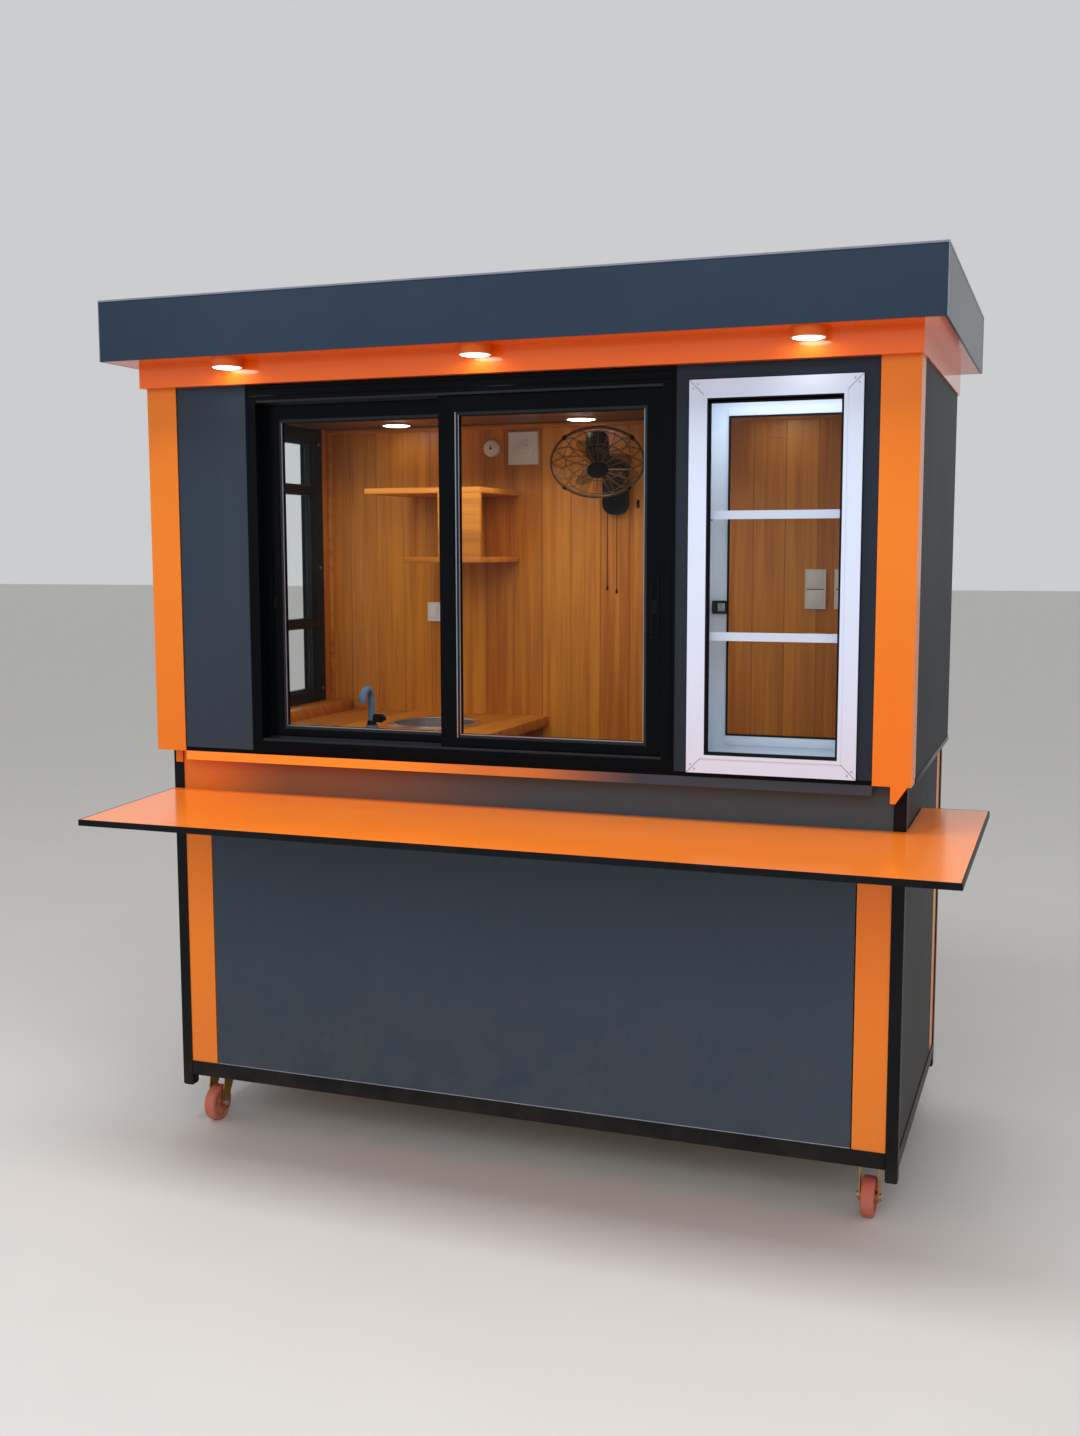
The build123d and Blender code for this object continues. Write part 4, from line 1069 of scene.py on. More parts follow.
@dataclass
class ServiceWindow:
    """Sliding service window.

    Args:
        bead: the width of the glazing beads.
        rib: the height of the track ribs.
        pane: the thickness of a pane.
        stile: the width of the stiles that meet in the middle.
        seal: the width of the pale strips that paint the highlight on the glazing beads' lit edges.
    """

    bead: float = 0.007
    rib: float = 0.007
    pane: float = 0.005
    stile: float = 0.045
    seal: float = 0.0028

    def build(self) -> None:
        """Dress the frame and sashes and add beads, gaskets, tracks, pulls and joint lines."""
        dress(BLACK, "window_frame", "window_sash_left", "window_sash_right")
        dress(PANE, "window_glass")
        self.beads()
        self.tracks()
        self.latches()
        self.joints()

    def panes(self) -> list[tuple[Vector, Vector]]:
        """Give the box of each sash's pane.

        Returns:
            The lowest and highest corners, right pane first.
        """
        low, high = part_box("window_glass")
        right_low, right_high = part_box("window_sash_right")
        left_low, left_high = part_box("window_sash_left")
        right, left = (right_low.y + right_high.y) / 2, (left_low.y + left_high.y) / 2
        half = self.pane / 2
        return [
            (Vector((right_low.x + self.stile, right - half, low.z)), Vector((high.x, right + half, high.z))),
            (Vector((low.x, left - half, low.z)), Vector((left_high.x - self.stile, left + half, high.z))),
        ]

    def beads(self) -> None:
        """Add the glazing beads and gaskets on both faces of both panes, and pale strips in front along the beads'
        lower and side edges, a painted highlight of their lit edges.
        """
        beads, gaskets = Shape("window_glazing_beads"), Shape("window_gaskets")
        for low, high in self.panes():
            for face, out in ((low.y, -1), (high.y, 1)):
                beads.border(*upright(low, high, 0.0, face, face + out * 0.0065), self.bead, 1, 0.0012)
                gaskets.border(*upright(low, high, self.bead, face, face + out * 0.003), 0.003)
        beads.finish(BEAD)
        gaskets.finish(RUBBER)
        pale = Shape("window_painted_highlight_strips")
        # Pale metal strips run along the lower and left edges of each pane and the right edge of the right pane. They
        # are a painted highlight where the beads catch the light.
        for number, (low, high) in enumerate(self.panes()):
            start, end = upright(low, high, self.bead, low.y - 0.0064, low.y)
            pale.block(start, (end.x, end.y, start.z + self.seal), 0.0006)
            pale.block(start, (start.x + 0.0022, end.y, end.z), 0.0006)
            if number == 0:
                pale.block((end.x - 0.0022, start.y, start.z), end, 0.0006)
        pale.finish(BRIGHT_TRIM)

    def tracks(self) -> None:
        """Add the ribs of both tracks on the sill and head, and the lips along the sill's front."""
        ribs = Shape("window_track_ribs")
        low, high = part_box("window_frame")
        right_low, right_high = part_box("window_sash_right")
        left_low, left_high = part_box("window_sash_left")
        gap = (right_high.y + left_low.y) / 2
        right, left = (right_low.y + right_high.y) / 2, (left_low.y + left_high.y) / 2
        start, end = left_low.x, right_high.x
        for z, up in ((left_low.z, 1), (left_high.z, -1)):
            foot, top = z - up * 0.001, z + up * self.rib
            ribs.block((start, gap - 0.0008, foot), (end, gap + 0.0008, z + up * 0.010), 0.0003)
            ribs.block((start, right - 0.0015, foot), (right_low.x, right + 0.0015, top), 0.0005)
            ribs.block((start, low.y + 0.002, foot), (end, low.y + 0.004, top), 0.0005)
            ribs.block((left_high.x, left - 0.0015, foot), (end, left + 0.0015, top), 0.0005)
            ribs.block((start, high.y - 0.004, foot), (end, high.y - 0.002, top), 0.0005)
        ribs.finish(BEAD)
        lips = Shape("window_sill_lips")
        for z in (low.z + 0.006, low.z + 0.017, high.z - 0.012, high.z - 0.030):
            lips.rod((low.x + 0.002, low.y, z), (high.x - 0.002, low.y, z), 0.0016, 10)
        for x in (low.x + 0.007, high.x - 0.007):
            lips.rod((x, low.y, low.z + 0.006), (x, low.y, high.z - 0.012), 0.0016, 10)
        lips.finish(BLACK)

    def latches(self) -> None:
        """Add the meeting stile's brush strip and the sunk pulls with their latches."""
        right_low, right_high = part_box("window_sash_right")
        left_low, left_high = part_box("window_sash_left")
        strip = Shape("meeting_stile_strip")
        strip.block((right_low.x + 0.0445, right_low.y - 0.0006, right_low.z + 0.03),
                    (right_low.x + 0.0475, right_low.y + 0.002, right_high.z - 0.048), 0.0005)
        strip.finish(BRIGHT_TRIM)
        pulls = Shape("sash_pulls")
        middle = (left_low.z + left_high.z) / 2 - 0.08
        for x, face in ((right_high.x - 0.021, right_low.y), (left_low.x + 0.021, left_low.y)):
            pulls.border((x - 0.010, face - 0.0016, middle - 0.075), (x + 0.010, face + 0.0005, middle + 0.075),
                         0.0035, 1, 0.0006)
            pulls.block((x - 0.006, face - 0.0022, middle - 0.016), (x + 0.006, face + 0.001, middle + 0.016), 0.001)
        pulls.finish(DARK_PLASTIC)

    def joints(self) -> None:
        """Add the butt joint lines at the corners of the sashes."""
        lines = Shape("window_corner_joints")
        for node in ("window_sash_left", "window_sash_right"):
            low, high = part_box(node)
            for x in (low.x + 0.042, high.x - 0.042):
                for bottom, top in ((low.z, low.z + 0.03), (high.z - 0.048, high.z)):
                    lines.block((x - 0.0004, low.y - 0.0003, bottom), (x + 0.0004, low.y + 0.001, top))
        lines.finish(RUBBER)


@dataclass
class DisplayCase:
    """White framed display case with glass shelves.

    Args:
        width: the front frame's width.
        gasket: the width of the black gasket round the front pane.
        rail: the height of the rear door's rails.
        door: the thickness of the rear door.
        shelves: how high the middles of the glass shelves are.
    """

    width: float = 0.044
    gasket: float = 0.0065
    rail: float = 0.024
    door: float = 0.020
    shelves: tuple[float, float] = (1.424, 1.712)

    def build(self) -> None:
        """Dress the case and add its gaskets, mitre lines, screws, rear door's trim, tracks and shelf clips."""
        dress(WHITE, "display_frame", "shelf_bars")
        dress(CASE_WHITE, "display_case")
        dress(PANE, "display_glass")
        dress(SHELF_GLASS, "display_shelves")
        self.front_trim()
        self.mitres()
        self.rear_trim()
        self.inside()

    def front_trim(self) -> None:
        """Add the stepped bead and the black gasket round the front pane, and the frame's outer groove."""
        low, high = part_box("display_frame")
        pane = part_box("display_glass")[0]
        gaskets, step = Shape("display_gasket"), Shape("display_frame_bead")
        inner, face = self.width, low.y
        seat_low, seat_high = upright(low, high, inner, pane.y - 0.003, pane.y + 0.0002)
        gaskets.border(seat_low, seat_high, self.gasket)
        gaskets.block((seat_low.x, seat_low.y, seat_high.z - self.gasket * 1.7), seat_high)
        gaskets.border(*upright(low, high, inner - 0.0005, face - 0.0004, face + 0.003), 0.0036)
        gaskets.border(*upright(low, high, -0.0015, face + 0.0035, face + 0.0065), 0.0025)
        gaskets.finish(RUBBER)
        step.border(*upright(low, high, inner - 0.009, face - 0.0012, face + 0.002), 0.0085, 1, 0.001)
        step.finish(WHITE)

    def mitres(self) -> None:
        """Add the fine mitre lines and the small screws at the four corners of the front frame."""
        low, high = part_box("display_frame")
        lines, screws = Shape("display_mitre_lines"), Shape("display_corner_screws")
        reach = self.width * math.sqrt(2) / 2
        for x, across in ((low.x, 1), (high.x, -1)):
            for z, up in ((low.z, 1), (high.z, -1)):
                middle = Vector((x + across * self.width / 2, low.y, z + up * self.width / 2))
                turn = Matrix.Rotation(-across * up * math.radians(45), 4, "Y")
                half = Vector((reach - 0.001, 0.0005, 0.0004))
                lines.block(middle - half, middle + half, turn=turn)
                for dx, dz in ((0.010, 0.020), (0.020, 0.010)):
                    place = Vector((x + across * dx, low.y, z + up * dz))
                    screws.rod(place + Y * 0.001, place - Y * 0.0008, 0.0022, 12, bevel=0.0004)
        lines.finish(BEAD)
        screws.finish(NUT_STEEL)

    def rear_trim(self) -> None:
        """Add the rear door's rails, its gasket and its lock."""
        low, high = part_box("display_case")
        face = high.y - self.door
        left, right, foot, top = low.x + 0.050, high.x - 0.050, low.z + self.width, high.z - self.width
        rails = Shape("display_rear_rails")
        for edge, inward in ((foot, self.rail), (top, -self.rail)):
            rails.block((left - 0.001, face - 0.0045, edge), (right + 0.001, face, edge + inward), 0.0008)
        rails.finish(CASE_WHITE)
        gaskets = Shape("display_rear_gasket")
        gaskets.border((left, face - 0.0055, foot + self.rail), (right, face + 0.0005, top - self.rail), 0.0045)
        gaskets.finish(RUBBER)
        lock = Shape("display_lock")
        place = Vector((low.x + 0.033, face, low.z + 0.390))
        lock.block(place + Vector((-0.020, -0.012, -0.0165)), place + Vector((0.0165, 0.001, 0.0165)), 0.003, 3)
        lock.finish(BEAD)
        barrel = Shape("display_lock_barrel")
        barrel.block(place + Vector((-0.004, -0.014, -0.010)), place + Vector((0.014, -0.011, 0.010)), 0.0015)
        barrel.rod(place + Vector((0.005, -0.0135, 0)), place + Vector((0.005, -0.0165, 0)), 0.006, 20, bevel=0.001)
        barrel.finish(NUT_STEEL)

    def inside(self) -> None:
        """Add the floor tracks, the wall grooves and the shelf clips."""
        low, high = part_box("display_case")
        floor, tracks = low.z + 0.006, Shape("display_floor_tracks")
        for y in (low.y + 0.020, low.y + 0.034, high.y - 0.060, high.y - 0.046):
            tracks.block((low.x + 0.007, y, floor - 0.001), (high.x - 0.007, y + 0.002, floor + 0.006), 0.0005)
        for x in (low.x + 0.006, high.x - 0.008):
            for y in (low.y + 0.020, low.y + 0.034):
                tracks.block((x, y, floor), (x + 0.002, y + 0.002, high.z - 0.007))
        tracks.finish(CASE_WHITE)
        clips = Shape("display_shelf_clips")
        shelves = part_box("display_shelves")
        for z in self.shelves:
            for x, inward in ((shelves[0].x, 1), (shelves[1].x, -1)):
                for y in (shelves[0].y + 0.03, shelves[1].y - 0.03):
                    clips.block((x, y - 0.006, z - 0.011), (x + inward * 0.012, y + 0.006, z - 0.003), 0.001)
        clips.finish(BRIGHT_TRIM)


@dataclass
class SideWindow:
    """Window in the left wall.

    Args:
        bead: the width of the glazing beads.
        bars: how high the middles of the two glazing bars are.
        half_bar: half a glazing bar's height.
    """

    bead: float = 0.006
    bars: tuple[float, float] = (1.398, 1.824)
    half_bar: float = 0.011

    def build(self) -> None:
        """Dress the side window and add its beads and screws."""
        dress(BLACK, "side_window_frame")
        dress(PANE, "side_window_glass")
        low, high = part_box("side_window_frame")
        pane_low, pane_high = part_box("side_window_glass")
        beads = Shape("side_window_beads")
        bar = self.half_bar
        edges = [pane_low.z, *(z + side for z in self.bars for side in (-bar, bar)), pane_high.z]
        for bottom, top in zip(edges[::2], edges[1::2]):
            for face, out in ((pane_low.x, -0.008), (pane_high.x, 0.008)):
                beads.border((face, pane_low.y, bottom), (face + out, pane_high.y, top), self.bead, 0, 0.001)
        beads.finish(BEAD)
        screws = Shape("side_window_screws")
        for y in (low.y + 0.022, high.y - 0.022):
            for z in (low.z + 0.05, (low.z + high.z) / 2, high.z - 0.05):
                screws.rod((high.x - 0.001, y, z), (high.x + 0.0016, y, z), 0.004, 14, bevel=0.0006)
        screws.finish(NUT_STEEL)


@dataclass
class BackDoor:
    """Way in, in the back wall.

    Args:
        hinges: how many hinges carry the leaf.
        hinge_inset: how far the outer hinges' middles are from the leaf's ends.
        side: how much of the frame's width shows beside the leaf.
        foot: how much of it shows under the leaf.
        panels: how far the two pressed panels' edges are above the leaf's foot, the last one from its top.
        lock_height: how high the lock's middle is.
    """

    hinges: int = 3
    hinge_inset: float = 0.16
    side: float = 0.0285
    foot: float = 0.0185
    panels: tuple[float, float, float, float] = (0.10, 0.72, 0.98, 0.10)
    lock_height: float = 0.955

    def build(self) -> None:
        """Dress the door and add its hinges, lock and pressed panels."""
        dress(BLACK, "door_frame")
        dress(GREY, "entrance_door")
        low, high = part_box("door_frame")
        leaf_low, leaf_high = low + Vector((self.side, 0, self.foot)), high - Vector((self.side, 0, self.side))
        face = high.y - 0.004
        knuckles = Shape("door_hinges")
        for step in range(self.hinges):
            lowest, highest = leaf_low.z + self.hinge_inset, leaf_high.z - self.hinge_inset
            place = Vector((high.x - 0.026, face, lowest + step * (highest - lowest) / (self.hinges - 1)))
            knuckles.rod(place - Z * 0.045, place + Z * 0.045, 0.0055, 14, bevel=0.001)
            knuckles.block(place + Vector((-0.030, -0.001, -0.036)), place + Vector((0.022, 0.0022, 0.036)), 0.0006)
        knuckles.finish(NUT_STEEL)
        pressed = Shape("door_raised_panels")
        left, right = leaf_low.x + 0.115, leaf_high.x - 0.075
        foot, middle, upper, head = self.panels
        for bottom, top in ((leaf_low.z + foot, leaf_low.z + middle), (leaf_low.z + upper, leaf_high.z - head)):
            pressed.border((left, face - 0.001, bottom), (right, face + 0.003, top), 0.012, 1, 0.002)
        pressed.finish(GREY)
        lock = Shape("door_lock")
        place = Vector((leaf_low.x + 0.056, face, self.lock_height))
        lock.rod(place - Y * 0.001, place + Y * 0.004, 0.016, 28, bevel=0.001)
        lock.rod(place + Y * 0.003, place + Y * 0.009, 0.008, 24, bevel=0.001)
        lock.finish(NUT_STEEL)


@dataclass
class Room:
    """Lining, worktop, sink, tap, shelf and wall plates.

    Args:
        corner: the width of the corner beading.
        shelf_depth: how far the wall shelf stands out.
        shelf_edges: the left ends of its upper and lower boards, its divider's left face and its right end.
        shelf_heights: its lowest and highest edges.
        board: the thickness of its boards.
        plate: how far the wall plates stand out.
        double_plates: how far right of the middle the two tall plates are.
        rim: the radius of the sink's outer rim.
        bowl: the radius of its bowl's edge.
    """

    corner: float = 0.014
    shelf_depth: float = 0.328
    shelf_edges: tuple[float, float, float, float] = (-0.667, -0.538, -0.427, -0.293)
    shelf_heights: tuple[float, float] = (1.595, 1.815)
    board: float = 0.016
    plate: float = 0.009
    double_plates: tuple[float, float] = (0.633, 0.718)
    rim: float = 0.1415
    bowl: float = 0.124

    def build(self) -> None:
        """Dress the room and add its beadings and fittings."""
        dress(LINING, "lining_back", "lining_sides", "lining_front", "door_lining")
        dress(CEILING, "ceiling_board")
        dress(WORKTOP, "worktop")
        dress(STAINLESS, "sink")
        dress(TAP_BLUE, "tap")
        dress(WHITE_PLASTIC, "wall_plates")
        self.beadings()
        self.worktop_trim()
        self.sink_fittings()
        self.plates()
        self.shelf()

    def shelf(self) -> None:
        """Make the wall shelf: its open boards and its box, closed in front and open at its right end."""
        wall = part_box("lining_back")[0].y
        front, board = wall - self.shelf_depth, self.board
        upper, lower, divider, right = (x + FOOT.x for x in self.shelf_edges)
        bottom, top = self.shelf_heights
        boards = Shape("wall_shelf_boards")
        boards.block((upper, front, top - board), (right, wall, top), 0.001)
        boards.block((lower, front, bottom), (right, wall, bottom + board), 0.001)
        boards.block((divider, front, bottom + board), (divider + board, wall, top - board))
        boards.block((divider + board, front + 0.001, bottom + board), (right - 0.001, front + board, top - board))
        boards.finish(BOARD, replaces=("wall_shelf",))

    def beadings(self) -> None:
        """Add the wooden beadings in the rear corners of the room and along the back of its ceiling."""
        low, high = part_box("lining_sides")
        left, right, back = low.x + 0.008, high.x - 0.008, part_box("lining_back")[0].y
        ceiling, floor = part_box("ceiling_board")[0].z, low.z
        strips = Shape("room_corner_beadings")
        for x, out in ((left, 1), (right, -1)):
            strips.block((x, back - self.corner, floor), (x + out * self.corner, back, ceiling), 0.004, 3)
        strips.block((left, back - self.corner, ceiling - self.corner), (right, back, ceiling), 0.004, 3)
        strips.finish(BOARD)

    def worktop_trim(self) -> None:
        """Add the worktop's edge strip, its upstand along the wall and the small post beside that."""
        low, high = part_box("worktop")
        edge = Shape("worktop_edge_strip")
        edge.block((low.x, low.y - 0.0015, low.z - 0.012), (high.x + 0.0015, low.y + 0.001, high.z), 0.001)
        edge.block((high.x - 0.001, low.y - 0.0015, low.z - 0.012), (high.x + 0.0015, high.y, high.z), 0.001)
        edge.finish(BOARD)
        upstand = Shape("worktop_upstand")
        upstand.block((low.x, low.y, high.z), (low.x + 0.082, high.y, high.z + 0.031), 0.001)
        post = low + Vector((0.090, 0.500, 0.0))
        upstand.block((post.x, post.y, high.z), (post.x + 0.039, post.y + 0.020, high.z + 0.036), 0.001)
        upstand.finish(BOARD)

    def sink_fittings(self) -> None:
        """Add the sink's rolled rim and its drain, and the tap's lever, collar and nozzle."""
        low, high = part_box("sink")
        centre = (low + high) / 2
        rim = Shape("sink_rolled_rim")
        rim.hoop((centre.x, centre.y, high.z), Z, self.bowl, 0.0026)
        rim.hoop((centre.x, centre.y, high.z - 0.0005), Z, self.rim, 0.0018)
        rim.finish(STAINLESS)
        drain = Shape("sink_drain")
        middle = Vector((centre.x, centre.y, low.z + 0.003))
        drain.turned(middle - Z * 0.001, Z, ((0.018, 0.0), (0.036, 0.0), (0.036, 0.003), (0.018, 0.001)), 36)
        for radius in (0.006, 0.013):
            drain.hoop(middle, Z, radius, 0.0014, 28, 6)
        for turn in range(4):
            arm = Vector((math.cos(turn * math.pi / 4), math.sin(turn * math.pi / 4), 0)) * 0.019
            drain.rod(middle - arm, middle + arm, 0.0012, 8)
        drain.finish(NUT_STEEL)
        tap_low, tap_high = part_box("tap")
        place = Vector(((tap_low.x + tap_high.x) / 2, tap_high.y - 0.018, tap_low.z))
        parts = Shape("tap_lever_and_collar")
        parts.rod(place + Z * 0.009, place + Z * 0.024, 0.0150, 24, 0.0125, 0.002)
        parts.rod(place + Vector((0.008, 0, 0.030)), place + Vector((0.036, 0, 0.030)), 0.0125, 20, bevel=0.002)
        parts.rod(place + Vector((0.036, 0, 0.030)), place + Vector((0.044, 0, 0.030)), 0.0085, 20, 0.0065, 0.001)
        parts.finish(DARK_PLASTIC)
        nozzle = Shape("tap_nozzle")
        mouth = Vector((place.x, tap_low.y + 0.010, tap_high.z - 0.042))
        nozzle.rod(mouth + Z * 0.014, mouth - Z * 0.005, 0.0115, 20, bevel=0.001)
        nozzle.finish(TAP_BLUE)

    def plates(self) -> None:
        """Add rockers, joints, dials and rims to the wall plates."""
        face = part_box("lining_back")[0].y - self.plate
        rims, holes, switches = Shape("plate_rims"), Shape("plate_joints"), Shape("plate_rockers")
        for x, z, width, height in ((-0.567, 1.436, 0.080, 0.060), (-0.279, 1.945, 0.096, 0.100),
                                    *((x, 1.516, 0.060, 0.115) for x in self.double_plates)):
            low, high = at(x - width / 2, 0, z - height / 2), at(x + width / 2, 0, z + height / 2)
            rims.border((low.x, face - 0.0014, low.z), (high.x, face + 0.001, high.z), 0.004, 1, 0.0008)
        for x in self.double_plates:
            for z in (1.4865, 1.5455):
                rocker = at(x, 0, z)
                switches.block((rocker.x - 0.0225, face - 0.002, rocker.z - 0.022),
                               (rocker.x + 0.0225, face, rocker.z + 0.022), 0.0012)
            seam = at(x, 0, 1.516)
            holes.block((seam.x - 0.029, face - 0.0006, seam.z - 0.0012),
                        (seam.x + 0.029, face + 0.001, seam.z + 0.0012))
        switch = at(-0.567, 0, 1.436)
        for dx in (-0.018, 0.018):
            switches.block((switch.x + dx - 0.013, face - 0.004, switch.z - 0.020),
                           (switch.x + dx + 0.013, face, switch.z + 0.020), 0.0015)
        knob = at(-0.271, 0, 1.941)
        knob.y = face
        switches.rod(knob, knob - Y * 0.004, 0.030, 40, bevel=0.001)
        switches.rod(knob - Y * 0.003, knob - Y * 0.012, 0.016, 32, 0.013, 0.001)
        disc = at(-0.384, 0, 1.947)
        switches.turned((disc.x, face, disc.z), -Y, ((0.0, 0.0), (0.025, 0.0), (0.024, 0.004), (0.017, 0.007),
                                                       (0.0, 0.007)), 40)
        holes.rod((disc.x, face - 0.0066, disc.z), (disc.x, face - 0.0078, disc.z), 0.0035, 14)
        holes.block((disc.x - 0.0008, face - 0.0078, disc.z), (disc.x + 0.0008, face - 0.0066, disc.z + 0.012))
        rims.finish(WHITE_PLASTIC)
        holes.finish(RUBBER)
        switches.finish(WHITE_PLASTIC)


@dataclass
class WallFan:
    """Wall fan with its cage.

    Args:
        spokes: how many fine wires fill each face of the cage.
        middle: the cage's middle, measured from the middle of the base's front foot.
        tilt: how far the fan looks down, in radians.
        turn: how far it looks to the right, in radians.
        rim: the radius of the cage's rim.
        wire: pairs of radius and distance from the cage's middle that each fine wire passes through.
        cords: how far right of the middle each pull cord hangs, and how high its foot is.
    """

    spokes: int = 48
    middle: Triple = (0.033, 0.640, 1.882)
    tilt: float = math.radians(46)
    turn: float = math.radians(19)
    rim: float = 0.1352
    wire: tuple[tuple[float, float], ...] = ((0.028, 0.028), (0.092, 0.028), (0.108, 0.020), (0.134, 0.0))
    cords: tuple[tuple[float, float], ...] = ((0.006, 1.510), (0.036, 1.500))

    def build(self) -> None:
        """Dress the fan and add the fine wires, rim, cap and clips of its cage, and what is on its motor."""
        dress(DARK_PLASTIC, "fan_mount")
        dress(CAGE_WIRE, "fan_guard")
        dress(BLADE, "fan_blades")
        centre = at(*self.middle)
        level = Vector((math.cos(self.turn), math.sin(self.turn), 0))
        axis = Z.cross(-level) * math.cos(self.tilt) - Z * math.sin(self.tilt)
        side = axis.cross(level)
        wires = Shape("fan_fine_wires")
        for step in range(self.spokes):
            angle = math.tau * (step + 0.5) / self.spokes
            outward = level * math.cos(angle) + side * math.sin(angle)
            for face in (1, -1):
                points = [centre + outward * radius + axis * (face * along) for radius, along in self.wire]
                for first, second in zip(points, points[1:]):
                    wires.rod(first, second, 0.0004, 4)
        wires.finish(CAGE_WIRE)
        rim = Shape("fan_cage_rim")
        rim.hoop(centre, axis, self.rim, 0.0031, 96)
        rim.finish(WIRE)
        cap = Shape("fan_centre_cap")
        cap.turned(centre + axis * 0.030, axis,
                   ((0.0, 0.0), (0.031, 0.0), (0.031, 0.002), (0.024, 0.006), (0.0, 0.008)))
        cap.finish(DARK_PLASTIC)
        clips = Shape("fan_cage_clips")
        for step in range(4):
            angle = math.tau * (step + 0.5) / 4
            outward = level * math.cos(angle) + side * math.sin(angle)
            place = centre + outward * 0.136
            turn = Matrix((outward.cross(axis), outward, axis)).transposed().to_4x4()
            half = Vector((0.006, 0.004, 0.006))
            clips.block(place - half, place + half, 0.001, 2, turn)
        clips.finish(DARK_PLASTIC)
        self.motor(centre, axis)

    def motor(self, centre: Vector, axis: Vector) -> None:
        """Add the motor's vent rings, its speed knob, the pull cords and the hook beside it.

        Args:
            centre: the cage's middle.
            axis: the fan's axis, out of its front.
        """
        vents = Shape("fan_motor_rings")
        for along in (-0.046, -0.062, -0.078):
            vents.hoop(centre + axis * along, axis, 0.0342, 0.0014, 56, 6)
        vents.finish(DARK_PLASTIC)
        box_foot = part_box("fan_mount")[0].z
        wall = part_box("lining_back")[0].y
        knob = Shape("fan_speed_knob")
        place = at(0.027, 0, 1.768)
        place.y = wall - 0.046
        knob.turned(place, -Y, ((0.0, 0.0), (0.016, 0.0), (0.015, 0.008), (0.0, 0.010)), 28)
        knob.finish(DARK_PLASTIC)
        cords = Shape("fan_pull_cords")
        for x, foot in self.cords:
            end = at(x, 0, foot)
            end.y = wall - 0.040
            cords.rod((end.x, end.y, box_foot + 0.004), end, 0.0013, 8)
            cords.rod(end + Z * 0.012, end, 0.0030, 12, 0.0042, 0.001)
        cords.finish(DARK_PLASTIC)
        hook = Shape("wall_hook")
        place = at(0.091, 0, 1.770)
        place.y = wall
        hook.block(place - Vector((0.004, 0.004, 0.012)), place + Vector((0.004, 0.0, 0.012)), 0.001)
        hook.rod(place - Y * 0.003, place - Y * 0.018, 0.0028, 12, bevel=0.0008)
        hook.finish(DARK_PLASTIC)


@dataclass
class Roof:
    """Roof box, soffit and the round lights.

    Args:
        edge: the width of the bright edge on top of the fascia.
        soffit_lights: how far right of the middle the soffit's lights are.
        ceiling_lights: how far right of the middle the ceiling's lights are.
        drop: how far the soffit's lights stand down.
        bays: how many bays the deck's seams part it into.
    """

    edge: float = 0.005
    soffit_lights: Triple = (-0.723, -0.032, 0.772)
    ceiling_lights: Triple = (-0.655, -0.050, 0.540)
    drop: float = 0.023
    bays: int = 4

    def build(self) -> None:
        """Dress the roof and add its bright edge, corner seams, deck seams and lights."""
        dress(GREY_ROOF, "roof_fascia")
        dress(GREY, "roof_deck")
        dress(ORANGE_SOFFIT, "soffit")
        dress(LIGHT_HOUSING, "led_lights")
        low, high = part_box("roof_fascia")
        edge = Shape("roof_bright_edge")
        left, right, foot, top = low.x + 0.0002, high.x + 0.0012, high.z - self.edge, high.z - 0.0002
        edge.block((left, low.y - 0.0012, foot), (right, low.y + 0.001, top), 0.0005)
        edge.block((left, high.y - 0.001, foot), (right, high.y + 0.0012, top), 0.0005)
        edge.block((high.x - 0.001, low.y, foot), (right, high.y, top), 0.0005)
        edge.finish(BRIGHT_TRIM)
        seams = Shape("roof_corner_seams")
        for x, inset in ((low.x, 0.0016), (high.x, 0.0)):
            for y in (low.y, high.y):
                seams.rod((x + inset, y, low.z + 0.001), (x + inset, y, high.z - 0.004), 0.0014, 8)
        seams.finish(BRIGHT_TRIM)
        self.deck(low, high)
        self.lights()

    def deck(self, low: Vector, high: Vector) -> None:
        """Add the standing seams of the deck.

        Args:
            low: the fascia's lowest corner.
            high: the fascia's highest corner.
        """
        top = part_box("roof_deck")[1].z
        seams = Shape("roof_deck_seams")
        for step in range(1, self.bays):
            x = low.x + (high.x - low.x) * step / self.bays
            seams.block((x - 0.010, low.y + 0.008, top), (x + 0.010, high.y - 0.008, top + 0.005), 0.002)
        seams.finish(GREY)

    def lights(self) -> None:
        """Add the rim and the glowing lens of each round light."""
        rims, lenses = Shape("light_rims"), Shape("light_lenses")
        under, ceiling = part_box("soffit")[0].z - self.drop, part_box("ceiling_board")[0].z - 0.003
        places = [(at(x, -0.122, under), 0.039) for x in self.soffit_lights]
        places += [(at(x, 0.737, ceiling), 0.045) for x in self.ceiling_lights]
        for place, out in places:
            rims.turned(place, -Z, ((out - 0.004, 0.0), (out + 0.0006, 0.0), (out, 0.0012), (out - 0.003, 0.0016)))
            lenses.turned(place, -Z, ((0.0, 0.0), (out - 0.0035, 0.0), (out - 0.005, 0.002), (out - 0.014, 0.004),
                                      (0.0, 0.005)))
        rims.finish(WHITE_PLASTIC)
        lenses.finish(LENS)


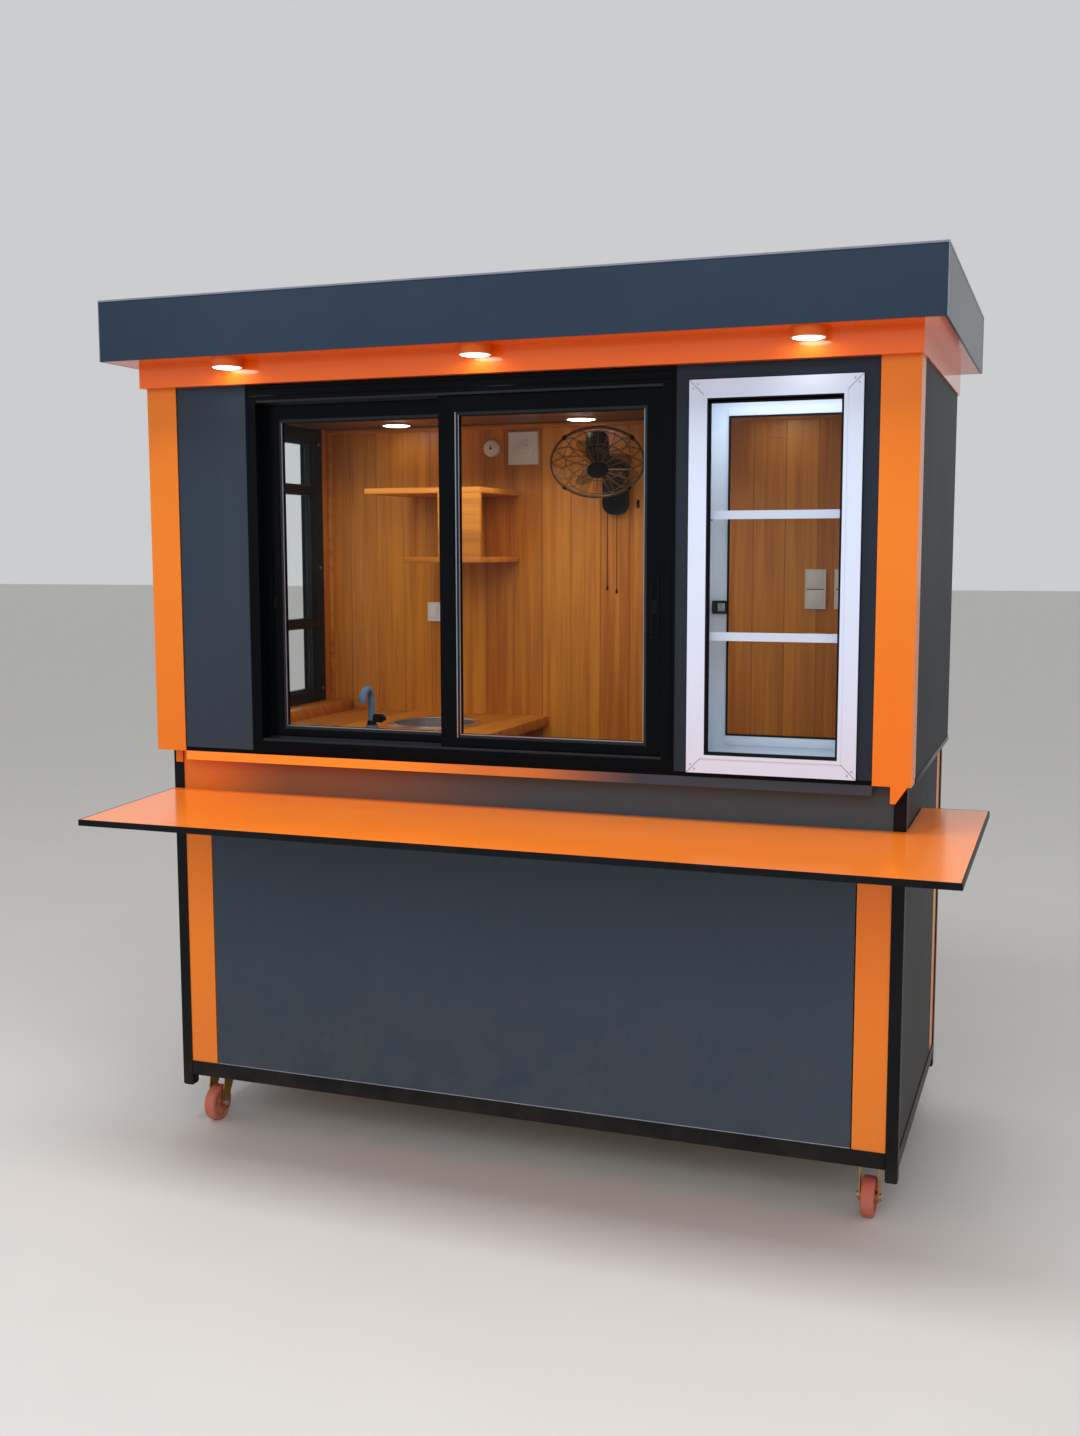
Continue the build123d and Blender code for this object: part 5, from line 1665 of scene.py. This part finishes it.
@dataclass
class Casters:
    """Four swivel casters.

    Args:
        trail: how far the king pin stands behind the axle.
        plate_foot: the height of the plates' undersides.
        race_foot: the height of the races' undersides.
        race: the radius of a race's rings.
        spokes: how many ribs each side of a wheel has.
        bolt_across: half the bolts' spacing along x.
        bolt_along: half their spacing along y.
    """

    trail: float = 0.030
    plate_foot: float = 0.142
    race_foot: float = 0.130
    race: float = 0.0272
    spokes: int = 8
    bolt_across: float = 0.031
    bolt_along: float = 0.038

    def build(self) -> None:
        """Dress the casters and add their bolts, race rings, wheel ribs, bearings and axle nuts."""
        dress(ZINC, "caster_plates")
        bolts = Shape("caster_plate_bolts")
        for place in ("front_left", "front_right", "back_left", "back_right"):
            dress(ZINC, f"fork_{place}")
            dress(TREAD, f"wheel_{place}")
            wheel_low, wheel_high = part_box(f"wheel_{place}")
            axle = (wheel_low + wheel_high) / 2
            self.plate(bolts, Vector((axle.x, axle.y + self.trail, self.plate_foot)))
            self.rings(place, Vector((axle.x, axle.y + self.trail, self.race_foot)))
            self.wheel(place, axle)
            self.axle(place, axle)
        bolts.finish(NUT_STEEL)

    def plate(self, bolts: Shape, place: Vector) -> None:
        """Add the four bolts that hold a plate.

        Args:
            bolts: the piece that they are added to.
            place: the middle of the plate's underside.
        """
        for dx in (-self.bolt_across, self.bolt_across):
            for dy in (-self.bolt_along, self.bolt_along):
                head = place + Vector((dx, dy, 0))
                bolts.rod(head, head - Z * 0.001, 0.0075, 20)
                bolts.rod(head - Z * 0.001, head - Z * 0.006, 0.0062, 6)
                bolts.rod(head - Z * 0.006, head - Z * 0.009, 0.003, 12)

    def rings(self, name: str, place: Vector) -> None:
        """Add the rings of a swivel race.

        Args:
            name: which caster it is.
            place: the middle of the race's underside.
        """
        rings = Shape(f"race_rings_{name}")
        for rise in (0.0025, 0.0100):
            rings.hoop(place + Z * rise, Z, self.race, 0.0016, 48)
        rings.finish(ZINC)

    def wheel(self, name: str, axle: Vector) -> None:
        """Add a wheel's web ribs, tread rings and bearings.

        Args:
            name: which caster it is.
            axle: the wheel's middle.
        """
        ribs = Shape(f"wheel_ribs_{name}")
        for side in (-1, 1):
            face = axle.x + side * 0.0102
            for step in range(self.spokes):
                angle = math.tau * step / self.spokes
                outward = Vector((0, math.cos(angle), math.sin(angle)))
                start = Vector((face, axle.y, axle.z)) + outward * 0.0135
                ribs.rod(start, start + outward * 0.0235, 0.0021, 8)
            ribs.hoop((axle.x + side * 0.0155, axle.y, axle.z), X, 0.0390, 0.0010, 48, 6)
        ribs.finish(TREAD, f"roller_{name}")
        caps = Shape(f"wheel_bearing_{name}")
        for side in (-1, 1):
            face = axle.x + side * 0.0165
            caps.turned((face, axle.y, axle.z), X * side,
                        ((0.0138, 0.0), (0.0150, 0.0), (0.0150, 0.004), (0.0138, 0.004)), 32)
        caps.finish(ZINC, f"roller_{name}")

    def axle(self, name: str, axle: Vector) -> None:
        """Add the washers and the threaded end of an axle.

        Args:
            name: which caster it is.
            axle: the wheel's middle.
        """
        parts = Shape(f"axle_nut_{name}")
        for side in (-1, 1):
            face = Vector((axle.x + side * 0.0250, axle.y, axle.z))
            parts.rod(face, face + X * side * 0.0012, 0.0105, 24)
            parts.rod(face + X * side * 0.0012, face + X * side * 0.0058, 0.0088, 6, bevel=0.0005)
            parts.rod(face + X * side * 0.0058, face + X * side * 0.0075, 0.0045, 16, bevel=0.0005)
        parts.finish(NUT_STEEL, f"swivel_{name}")


def main() -> None:
    """Build every sub-assembly in order and note the sizes."""
    logging.basicConfig(level=logging.INFO, format="%(message)s")
    for assembly in (Studio(), Base(), Counter(), UpperBody(), ServiceWindow(), DisplayCase(), SideWindow(),
                     BackDoor(), Room(), WallFan(), Roof(), Casters()):
        assembly.build()
        log.info("%s done", type(assembly).__name__)


if __name__ == "__main__":
    main()
